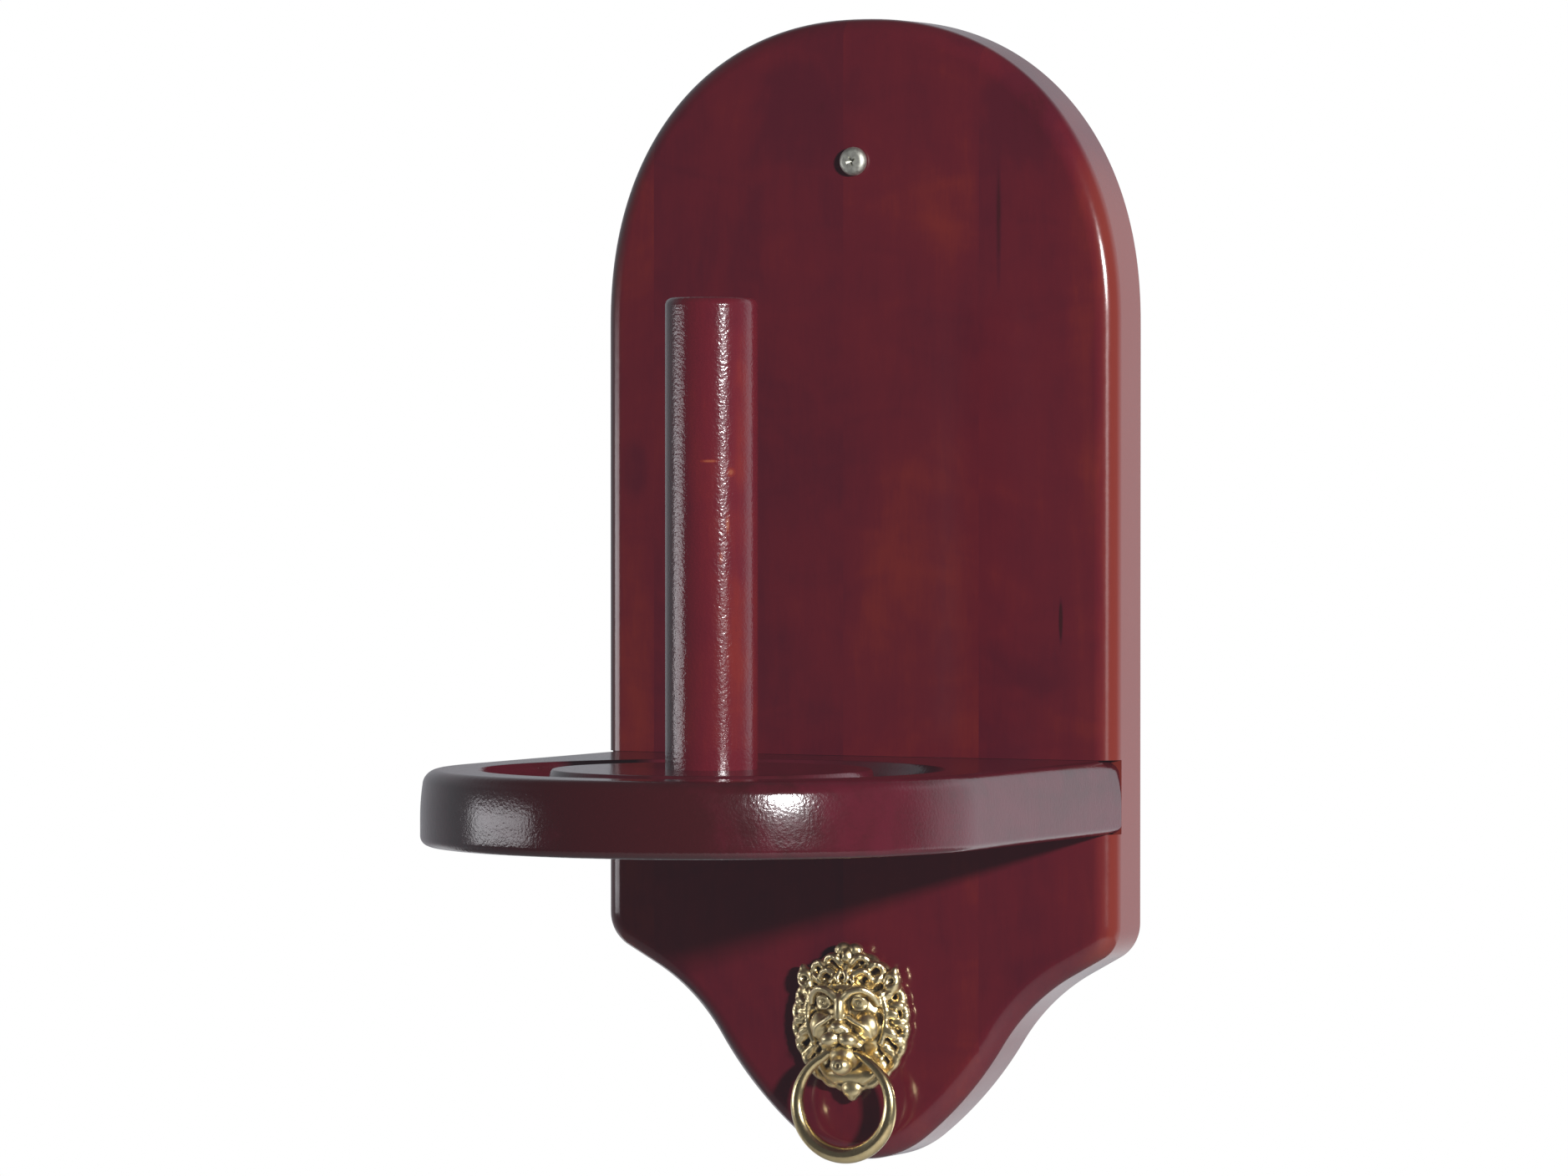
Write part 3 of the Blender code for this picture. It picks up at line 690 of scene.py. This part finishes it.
WOOD_SHANK = 4.0 * MM
POST_SCREW_LENGTH = 35.0 * MM
TRAY_SCREW_LENGTH = 40.0 * MM
WALL_SHANK = 4.2 * MM
WALL_SCREW_LENGTH = 50.0 * MM
WALL_PLAIN = 14.0 * MM
MACHINE_PITCH = 0.7 * MM
MACHINE_POINT = 0.8 * MM
MACHINE_LENGTH = WASHER_LOW.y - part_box("mask_screw")[0].y + MACHINE_POINT
WASHER_EDGE = 0.12 * MM
ZINC_DULL = (0.50, 0.50, 0.44, 1)
ZINC_BRIGHT = (0.66, 0.67, 0.59, 1)


def plated_steel():
    """Zinc plating with a yellowish mottle, handled until it is dull."""
    steel = Finish("plated_steel", Metallic=1.0)
    mottle = steel.noise(steel.place(), 900, detail=3, roughness=0.6)
    steel.feed("Base Color", steel.mix(steel.between(mottle, 0.35, 0.65), ZINC_DULL, ZINC_BRIGHT))
    steel.feed("Roughness", mottle * 0.25 + 0.40)
    steel.bump(mottle, 0.012 * MM)
    return steel.material


def screw_blank(shank, length, pan):
    """Head at Z = 0 and the shank down, with rings close enough to cut a thread in."""
    if pan:
        centre = PAN_HEIGHT - PAN_SHOULDER - 0.12 * MM
        points = [(0, PAN_HEIGHT), (HEAD_RADIUS * PAN_FLAT, PAN_HEIGHT - 0.02 * MM)]
        points += rounded(HEAD_RADIUS - PAN_SHOULDER, centre, PAN_SHOULDER, radians(84), 0, 10)
        points += [(HEAD_RADIUS, PAN_RIM), (HEAD_RADIUS - PAN_RIM, 0.0)]
        neck = 0.0
    else:
        points = [(0, 0), (HEAD_RADIUS - SUNK_EDGE, 0)]
        points += [(HEAD_RADIUS, -SUNK_EDGE), (HEAD_RADIUS, -SUNK_LAND)]
        neck = -SUNK_LAND - (HEAD_RADIUS - shank / 2)
    start = neck - 0.1 * MM
    rings = int((length + neck - 0.4 * MM) / THREAD_RING)
    points += [(shank / 2 * SHANK_CORE, start - THREAD_RING * i) for i in range(rings)]
    return points + [(0, -length)], neck


def cut_thread(screw, shank, length, start, pitch, point):
    """Winds a thread below start and tapers it to the point."""
    for vertex in screw.data.vertices:
        x, y, z = vertex.co
        radius = hypot(x, y)
        if z < start and radius > 0.01 * MM:
            wind = (z / pitch - atan2(y, x) / (2 * pi)) % 1.0
            crest = max(0.0, 1 - abs(wind - 0.5) * THREAD_SLOPE)
            taper = min(1.0, (z + length) / point)
            size = (THREAD_ROOT + (1 - THREAD_ROOT) * crest) * taper * shank / 2
            vertex.co.x, vertex.co.y = x / radius * size, y / radius * size


def cut_recess(screw, top):
    """Sinks a cross recess in the head."""
    for angle in (0, pi / 2):
        start_clean()
        bpy.ops.mesh.primitive_cone_add(
            vertices=4, radius1=RECESS_TIP, radius2=RECESS_MOUTH, depth=RECESS_TALL, rotation=(0, 0, pi / 4)
        )
        arm = settle(bpy.context.object)
        arm.scale = (1, RECESS_ARM, 1)
        arm.location.z = top
        arm.rotation_euler.z = angle + RECESS_TURN
        carve(screw, settle(arm))


def add_screw(node, shank, length, turn, pan=False, pitch=WOOD_PITCH, point=WOOD_POINT, plain=0.0):
    """A finished screw where its node is. Plain is the length without thread under the head."""
    points, neck = screw_blank(shank, length, pan)
    screw = turned(node, points, 28)
    cut_thread(screw, shank, length, neck - THREAD_STARTS - plain, pitch, point)
    tidy_mesh(screw, 0.01 * MM)
    top = PAN_HEIGHT if pan else 0.0
    cut_recess(screw, top)
    low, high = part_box(node)
    seat = (low + high) / 2
    if turn == DOWNWARD:
        seat.z = low.z
    elif turn == BACKWARD:
        seat.y = high.y - top
    else:
        seat.y = low.y + top
    screw.rotation_euler = turn
    screw.location = seat
    settle(screw)
    ease_shading(screw, 40)
    dress(screw, node, "holder", STEEL)


STEEL = plated_steel()
add_screw("post_screw", WOOD_SHANK, POST_SCREW_LENGTH, DOWNWARD)
add_screw("tray_screw_left", WOOD_SHANK, TRAY_SCREW_LENGTH, BACKWARD)
add_screw("tray_screw_right", WOOD_SHANK, TRAY_SCREW_LENGTH, BACKWARD)
add_screw("wall_screw", WALL_SHANK, WALL_SCREW_LENGTH, FORWARD, pan=True, plain=WALL_PLAIN)
add_screw("mask_screw", WOOD_SHANK, MACHINE_LENGTH, BACKWARD, True, MACHINE_PITCH, MACHINE_POINT)

near, far = WASHER_LOW.y, WASHER_HIGH.y
eye_edge, rim_edge = CLEAR_HOLE + WASHER_EDGE, WASHER_RADIUS - WASHER_EDGE
section = [(CLEAR_HOLE, near + WASHER_EDGE), (eye_edge, near), (rim_edge, near)]
section += [(WASHER_RADIUS, near + WASHER_EDGE), (WASHER_RADIUS, far - WASHER_EDGE)]
section += [(rim_edge, far), (eye_edge, far), (CLEAR_HOLE, far - WASHER_EDGE)]
washer = turned("washer", section + section[:1], 64)
washer.rotation_euler = BACKWARD
washer.location.z = MASK_Z
settle(washer)
ease_shading(washer)
dress(washer, "mask_washer", "holder", STEEL)


# ---------------------------------------------------------------- Lion mask
# A small brass casting, polished on the high places and left dark in the hollows. The head was modelled
# as masses pressed together: plate, mane, face, brows, muzzle, tongue and beard.

MASK_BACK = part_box("lion_mask")[1].y
PIVOT = Vector(frame["joints"][0]["pos_m"])
WIRE_THIN = 2.4 * MM
MOUTH_HALF = 4.3 * MM
CORNER_RADIUS = 3.0 * MM
PAST_EDGE = 25.0 * MM
MUZZLE_HALF = 9.0 * MM
PIVOT_ROOM = 0.2 * MM
TAPPED_PAST = 0.3 * MM
VOXEL = 0.26 * MM
MANE_LIFT = 0.3  # the mane's middle above the screw, in millimetres
RING_RESTS = -5  # below this height the locks are flatter, in millimetres
RIDGE_STEP = 0.45  # between two beads of a ridge, in millimetres
COMB_DEPTH = 0.06 * MM
BRASS_CLEAN = (0.85, 0.70, 0.37, 1)
BRASS_DULL = (0.78, 0.61, 0.30, 1)
BRASS_RUBBED = (0.90, 0.79, 0.50, 1)
TARNISH = (0.050, 0.034, 0.014, 1)


def press(across, out, up, half_across, half_out, half_up, lean=0.0, rough=False):
    """Adds one rounded mass of the mask. Sizes are in millimetres and lean is clockwise, in degrees."""
    segments, rings = (12, 8) if rough else (24, 14)
    start_clean()
    bpy.ops.mesh.primitive_uv_sphere_add(
        segments=segments,
        ring_count=rings,
        radius=MM,
        location=(across * MM, MASK_BACK - out * MM, MASK_Z + up * MM),
        rotation=(0, radians(lean), 0),
        scale=(half_across, half_out, half_up),
    )
    masses.append(bpy.context.object)


def press_pair(across, out, up, half_across, half_out, half_up, lean=0.0):
    """Adds a mass on each side."""
    press(across, out, up, half_across, half_out, half_up, lean)
    press(-across, out, up, half_across, half_out, half_up, -lean)


def ridge(points, thick, thin, both=True):
    """Adds a rounded ridge through points (across, out, up), from one thickness to the other."""
    path = [Vector(p) for p in points]
    path = [2 * path[0] - path[1]] + path + [2 * path[-1] - path[-2]]
    spans = len(path) - 3
    for index in range(spans):
        before, start, end, after = path[index : index + 4]
        steps = max(3, int((end - start).length / RIDGE_STEP))
        for i in range(steps):
            t = i / steps
            slope_in, slope_out = (end - before) / 2, (after - start) / 2
            bend = start * (2 * t**3 - 3 * t**2 + 1) + end * (3 * t**2 - 2 * t**3)
            x, out, up = bend + slope_in * (t**3 - 2 * t**2 + t) + slope_out * (t**3 - t**2)
            size = thick + (thin - thick) * (index + t) / spans
            press(x, out, up, size, size, size, rough=True)
            if both:
                press(-x, out, up, size, size, size, rough=True)


def mane(count, half_width, half_height, out, low_out, half_sizes, first=0.0, swirl=24):
    """A row of locks round the face, lying along their radius and falling to the side. They are
    lower below the mouth, where the ring hangs."""
    for i in range(count):
        angle = 2 * pi * (i + first) / count
        across, up = half_width * sin(angle), half_height * cos(angle)
        lean = atan2(across, up) * 180 / pi + swirl * (1 if across > 0 else -1)
        press(across, out if up > RING_RESTS else low_out, up + MANE_LIFT, *half_sizes, lean)


def border(half_width, half_height, out, size, waves, count=150):
    """The cast rim of the mane, with a scalloped edge."""
    for i in range(count):
        angle = 2 * pi * i / count
        scallop = abs(sin(angle * waves / 2))
        reach = 1 + 0.020 * scallop - 0.008
        thick = size * (0.9 + 0.2 * scallop)
        across, up = half_width * reach * sin(angle), half_height * reach * cos(angle)
        press(across, out, up, thick, thick, thick, rough=True)


masses = []
press(0, 0.0, 0.3, 17.0, 2.9, 19.2)
border(16.7, 18.6, 1.7, 1.35, 24)
mane(22, 14.8, 16.6, 2.8, 2.0, (1.65, 1.35, 2.7), 0.5)
mane(18, 12.6, 14.4, 4.0, 2.3, (1.75, 1.5, 3.3))
press(0, 2.4, 0.2, 11.2, 5.4, 12.8)
press(0, 5.4, 7.6, 6.6, 3.3, 4.6)
ridge([(1.3, 9.3, 7.0), (3.4, 9.5, 8.7), (6.6, 9.0, 9.3), (9.2, 7.2, 7.6), (10.4, 5.6, 4.8)], 1.3, 0.9)
press_pair(5.5, 7.3, 5.5, 1.9, 1.9, 1.45, 8)
ridge([(3.2, 8.2, 5.0), (4.4, 9.1, 6.9), (6.6, 8.9, 6.9), (8.0, 7.4, 5.4)], 0.5, 0.45)
ridge([(3.2, 8.0, 5.0), (4.6, 8.6, 3.9), (6.6, 8.3, 3.9), (8.0, 7.2, 5.2)], 0.5, 0.45)
press(0, 8.0, 3.6, 2.0, 3.3, 5.8)
press(0, 10.2, -1.2, 2.5, 2.2, 1.9)
press_pair(2.1, 9.6, -1.9, 1.4, 1.7, 1.3)
press_pair(6.7, 5.9, -1.0, 3.9, 3.0, 4.4, -12)
ridge([(2.6, 9.6, 1.6), (4.8, 9.3, 0.2), (7.4, 8.5, -1.4), (8.8, 7.3, -4.2)], 0.85, 0.75)
ridge([(10.6, 5.0, 8.2), (12.0, 4.9, 4.0), (11.8, 4.7, -1.5), (10.2, 4.4, -6.2)], 1.05, 0.9)
press_pair(2.7, 9.4, -4.6, 3.0, 2.8, 2.3, 12)
press_pair(5.2, 7.4, -6.0, 2.4, 2.3, 1.5, 40)
press(0, 5.6, -9.6, 4.6, 4.4, 4.0)
press(0.3, 8.9, -12.0, 3.3, 3.2, 2.9)
press(0, 2.6, -14.8, 8.4, 2.2, 3.2)
ridge([(9.6, 2.6, -10.2), (7.6, 2.9, -14.2), (3.8, 3.0, -17.0)], 1.1, 1.1)
press(0.7, 2.6, -18.8, 3.2, 2.1, 3.0)
press(0.7, 2.3, -21.0, 1.6, 1.6, 1.5)
press_pair(13.2, 3.0, 11.2, 2.7, 2.5, 3.8, 14)
press_pair(14.0, 3.0, 13.6, 1.3, 1.7, 2.2, 8)
press(-1.7, 3.5, 20.2, 2.5, 2.3, 2.0, -20)
press(2.3, 3.5, 20.0, 2.4, 2.2, 2.0, 24)
press(0.2, 4.6, 18.2, 1.7, 2.0, 2.2)
ridge([(1.8, 4.9, 16.2), (3.6, 5.2, 18.0), (5.8, 4.5, 17.7), (6.6, 4.2, 16.0)], 1.15, 0.9)
ridge([(6.6, 4.6, 14.6), (8.4, 4.6, 16.2), (10.4, 3.9, 15.3), (10.8, 3.7, 13.6)], 1.1, 0.85)
ridge([(3.2, 6.4, 13.4), (5.2, 6.4, 14.4), (7.2, 5.7, 13.4), (7.6, 5.4, 11.8)], 1.1, 0.8)
ridge([(0.9, 7.4, 13.9), (1.5, 8.0, 12.4), (0.8, 8.4, 10.9)], 0.95, 0.6)
ridge([(2.2, 7.4, 12.6), (3.4, 8.0, 11.7), (3.3, 8.4, 10.6)], 0.8, 0.5)

start_clean()
for mass in masses:
    mass.select_set(True)
bpy.context.view_layer.objects.active = masses[0]
bpy.ops.object.join()
mask = settle(bpy.context.object)
apply(mask, "REMESH", mode="VOXEL", voxel_size=VOXEL, adaptivity=0.0)
for side in (-1, 1):
    corner = (side * MOUTH_HALF, PIVOT.y, PIVOT.z)
    carve(mask, rod(corner, (side * PAST_EDGE, PIVOT.y, PIVOT.z), CORNER_RADIUS, 32))
apply(mask, "REMESH", mode="VOXEL", voxel_size=VOXEL, adaptivity=0.0)
apply(mask, "SMOOTH", factor=0.5, iterations=7)


def dent(across, out, up, reach, depth):
    """Pushes the casting in around a point, by up to depth. All in millimetres."""
    centre = np.array([across * MM, MASK_BACK - out * MM, MASK_Z + up * MM])
    far = np.linalg.norm(places - centre, axis=1) / (reach * MM)
    places[:, 1] += depth * MM * np.exp(-3.0 * far**2)


def hair_lines():
    """Fine combed grooves in the mane, running out from the face."""
    across = places[:, 0] / MM
    up = (places[:, 2] - MASK_Z) / MM
    ring = np.hypot(across / 11.5, (up - 0.5) / 13.2)
    angle = np.arctan2(across, up)
    comb = np.sin(angle * 64 + 3.0 * np.sin(ring * 7 + angle * 5))
    strength = np.clip((ring - 0.96) * 6, 0, 1) * np.clip((up + 12) / 4, 0, 1)
    places[:, 1] += comb * strength * COMB_DEPTH


count = len(mask.data.vertices)
places = np.empty(count * 3)
mask.data.vertices.foreach_get("co", places)
places = places.reshape(-1, 3)
for side in (-1, 1):
    dent(side * 13.3, 5.6, 11.6, 2.0, 1.5)
    dent(side * 5.6, 9.2, 5.4, 0.7, 0.45)
    dent(side * 2.6, 8.8, 4.6, 1.1, 0.6)
    dent(side * 1.2, 12.2, -2.3, 0.8, 0.8)
    dent(side * 5.6, 9.4, -7.9, 1.5, 1.2)
    dent(side * 2.9, 5.6, 15.2, 1.0, 0.8)
    dent(side * 9.8, 5.2, 1.8, 1.8, 0.9)
    dent(side * 2.4, 8.0, 1.6, 1.0, 0.7)
    dent(side * 4.4, 6.4, 11.2, 1.2, 0.7)
dent(0, 9.6, 10.0, 1.2, 0.7)
dent(0.3, 12.2, -11.9, 1.5, 0.8)
dent(0, 12.2, -6.4, 0.7, 0.9)
hair_lines()
mask.data.vertices.foreach_set("co", places.ravel())
mask.data.update()
edit(mask)
bpy.ops.mesh.select_all(action="SELECT")
bpy.ops.mesh.bisect(plane_co=(0, MASK_BACK, 0), plane_no=(0, 1, 0), use_fill=True, clear_outer=True)
close()
left, right = (-MUZZLE_HALF, PIVOT.y, PIVOT.z), (MUZZLE_HALF, PIVOT.y, PIVOT.z)
carve(mask, rod(left, right, WIRE_THIN / 2 + PIVOT_ROOM, 32))
tapped_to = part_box("mask_screw")[0].y - TAPPED_PAST
carve(mask, rod((0, BEHIND, MASK_Z), (0, tapped_to, MASK_Z), CLEAR_HOLE, 32))
take(mask)
bpy.ops.object.shade_smooth_by_angle(angle=radians(60))


def store_hollows(piece, rounds=14):
    """Keeps, for each point, how far it lies below its surroundings, as an attribute."""
    mesh = piece.data
    total = len(mesh.vertices)
    here = np.empty(total * 3)
    facing = np.empty(total * 3)
    mesh.vertices.foreach_get("co", here)
    mesh.vertices.foreach_get("normal", facing)
    here, facing = here.reshape(-1, 3), facing.reshape(-1, 3)
    ends = np.empty(len(mesh.edges) * 2, np.int64)
    mesh.edges.foreach_get("vertices", ends)
    first, second = ends.reshape(-1, 2).T
    links = np.bincount(first, minlength=total) + np.bincount(second, minlength=total)
    links = np.maximum(links, 1)[:, None]
    blurred = here.copy()
    for _ in range(rounds):
        spread = np.zeros_like(blurred)
        np.add.at(spread, first, blurred[second])
        np.add.at(spread, second, blurred[first])
        blurred = spread / links
    depth = np.einsum("ij,ij->i", blurred - here, facing) / MM
    hollow = mesh.attributes.new("hollow", "FLOAT", "POINT")
    hollow.data.foreach_set("value", depth.astype(np.float32))


def brass(name, hollows, gloss):
    """Polished brass, with brown tarnish in the hollows where a mesh stores them."""
    metal = Finish(name, Metallic=1.0, Coat_Weight=0.5, Coat_Roughness=0.10)
    cloud = metal.noise(metal.place(), 260, detail=3, roughness=0.6)
    worn = metal.noise(metal.place(), 1400, detail=2)
    colour = metal.mix(metal.between(cloud, 0.35, 0.70), BRASS_CLEAN, BRASS_DULL)
    dark = metal.between(cloud, 0.55, 0.80) * 0.20
    if hollows:
        depth = metal.node("ShaderNodeAttribute", {"attribute_name": "hollow"}, {}, "Fac")
        dark = dark + metal.between(depth, 0.0, 0.15) * 0.95
        colour = metal.mix(metal.between(depth, -0.02, -0.22) * 0.6, colour, BRASS_RUBBED)
    metal.feed("Base Color", metal.mix(dark, colour, TARNISH))
    metal.feed("Roughness", worn * 0.10 + dark * 0.25 + gloss)
    metal.bump(worn * 0.6 + cloud, 0.02 * MM)
    return metal.material


store_hollows(mask)
dress(mask, "lion_mask", "holder", brass("cast_brass", hollows=True, gloss=0.27))


# ---------------------------------------------------------------- Pull ring
# Brass wire drawn thick in the middle and thin at both ends, bent to a ring. The ends are turned in and
# sit in the corners of the lion's mouth, so that the ring swings.

WIRE_THICK = 4.8 * MM
RING_RADIUS = 14.3 * MM
END_ANGLE = radians(27)
PIVOT_END = 2.1 * MM
BEND_OUT = 0.3 * MM
END_SAG = 0.1 * MM
SWELL = 0.75  # below 1, the wire thickens soon after its ends


def ring_line(count=120):
    """The wire's middle line about the pivot, from the left end to the right, with its radius."""
    bend = MOUTH_HALF + BEND_OUT
    points = [(-PIVOT_END, 0.0), (-0.5 * (PIVOT_END + bend), 0.0), (-bend, -END_SAG)]
    for i in range(count + 1):
        angle = -END_ANGLE - 2 * (pi - END_ANGLE) * i / count
        points.append((RING_RADIUS * sin(angle), RING_RADIUS * (cos(angle) - 1)))
    points += [(-x, z) for x, z in points[2::-1]]
    line = []
    for x, z in points:
        depth = min(max(-z / (2 * RING_RADIUS), 0), 1)
        line.append((x, z, (WIRE_THIN + (WIRE_THICK - WIRE_THIN) * depth**SWELL) / 2))
    return line


start_clean()
wire = bpy.data.curves.new("ring", "CURVE")
wire.dimensions = "3D"
wire.bevel_depth = 1.0
wire.bevel_resolution = 10
wire.use_fill_caps = True
points = ring_line()
spline = wire.splines.new("POLY")
spline.points.add(len(points) - 1)
for point, (x, z, radius) in zip(spline.points, points):
    point.co = (x, 0, z, 1)
    point.radius = radius
ring = bpy.data.objects.new("ring", wire)
bpy.context.scene.collection.objects.link(ring)
take(ring)
bpy.ops.object.convert(target="MESH")
ring = tidy_mesh(bpy.context.object)
ring.location = PIVOT
settle(ring)
ease_shading(ring, 50)
dress(ring, "pull_ring", "ring", brass("ring_brass", hollows=False, gloss=0.17))


# ---------------------------------------------------------------- Studio
# A pale floor well below the piece. A small soft box stands on the right with a dim wide one round it,
# and a panel on the left shows only as sheen. The walls are dark on the near side and white behind.

FLOOR_Z = -0.90
FLOOR_RADIUS = 1.6
FLOOR_DULL = (0.58, 0.58, 0.58, 1)
FLOOR_BRIGHT = (0.62, 0.62, 0.62, 1)
# Each wall's angle from the front towards the right, in degrees, and its brightness.
WALLS = (
    (-180, 0.75),
    (-168, 0.48),
    (-150, 0.36),
    (-120, 0.42),
    (-92, 0.38),
    (-50, 0.06),
    (30, 0.045),
    (80, 0.09),
    (110, 0.20),
    (130, 1.00),
    (155, 1.15),
    (170, 0.85),
    (180, 0.75),
)
WALL_TINT = (0.96, 0.98, 1.05)
OVERHEAD = (0.06, 0.06, 0.06, 1)
WALLS_FADE = (0.40, 0.80)  # how steeply a ray climbs where the walls give way to the ceiling
PAPER_SWEEP = (1.30, 1.32, 1.36, 1)  # lit paper low down behind the piece
SWEEP_LOW = (-0.22, -0.42)
SWEEP_REAR = (0.20, 0.60)
WHITE = (1, 1, 1, 1)
CAMERA_PLACE = (0.9687, -2.0988, 0.0978)
CAMERA_TURN = 25.477
CAMERA_TILT = 1.271
CAMERA_LENS = 188.56
CAMERA_SENSOR = 36
FLARE = (-0.0105, -0.0100, -0.0120)  # a little light that the lens spreads over the darks

start_clean()
bpy.ops.mesh.primitive_circle_add(
    vertices=96, radius=FLOOR_RADIUS, fill_type="NGON", location=(0, 0, FLOOR_Z)
)
floor = settle(bpy.context.object)
floor.name = "floor"
paper = Finish("floor_paper", Roughness=0.9)
paper.feed("Base Color", paper.mix(paper.noise(paper.place(), 30, detail=2), FLOOR_DULL, FLOOR_BRIGHT))
floor.data.materials.append(paper.material)


def soft_box(name, azimuth, elevation, distance, size, power, colour, sheen_only=False):
    """A rectangular light at this angle round the piece, pointed at it. One for sheen only shows in the
    lacquer and the brass and leaves the shadows dark."""
    data = bpy.data.lights.new(name, "AREA")
    data.shape = "RECTANGLE"
    data.size, data.size_y = size
    data.energy = power
    data.color = colour
    light = bpy.data.objects.new(name, data)
    bpy.context.scene.collection.objects.link(light)
    az, el = radians(azimuth), radians(elevation)
    away = Vector((sin(az) * cos(el), -cos(az) * cos(el), sin(el)))
    light.location = away * distance
    light.rotation_mode = "QUATERNION"
    light.rotation_quaternion = away.to_track_quat("Z", "Y")
    light.visible_camera = False
    light.visible_diffuse = not sheen_only


soft_box("key", 52.2, 12.6, 2.2, (0.21, 0.12), 61, (1.0, 0.99, 1.0))
soft_box("key_spill", 53, 6, 2.25, (0.60, 0.68), 2.8, (0.97, 0.98, 1.0))
soft_box("side_panel", -62.5, -1, 2.0, (1.10, 0.28), 5.0, (0.96, 0.96, 1.0), sheen_only=True)

world = bpy.data.worlds.new("surround")
bpy.context.scene.world = world
world.use_nodes = True
room = Nodes(world.node_tree)
ray = room.node("ShaderNodeTexCoord", {}, {}, "Generated")
rightward, rearward, upward = (room.axis(ray, index) for index in range(3))
bearing = rightward.maths("ARCTAN2", rightward, rearward * -1.0)
stops = [(angle / 360 + 0.5, [level * tint for tint in WALL_TINT]) for angle, level in WALLS]
walls = room.node("ShaderNodeValToRGB", {"stops": stops}, {0: bearing * (0.5 / pi) + 0.5})
dome = room.mix(room.between(upward, *WALLS_FADE), walls, OVERHEAD)
low = room.between(upward, *SWEEP_LOW, "LINEAR")
rear = room.between(rearward, *SWEEP_REAR, "LINEAR")
lit_room = room.mix(low * rear, dome, PAPER_SWEEP)
seen = room.node("ShaderNodeLightPath", {}, {}, "Is Camera Ray")
sky = room.mix(seen, lit_room, WHITE)
room.tree.links.new(sky.socket, room.tree.nodes["Background"].inputs["Color"])

camera_data = bpy.data.cameras.new("camera")
camera_data.sensor_width = CAMERA_SENSOR
camera_data.lens = CAMERA_LENS
camera = bpy.data.objects.new("camera", camera_data)
bpy.context.scene.collection.objects.link(camera)
camera.location = CAMERA_PLACE
camera.rotation_euler = (radians(90 - CAMERA_TILT), 0, radians(CAMERA_TURN))
bpy.context.scene.camera = camera
view = bpy.context.scene.view_settings
view.view_transform = "Standard"
view.use_curve_mapping = True
view.curve_mapping.black_level = FLARE
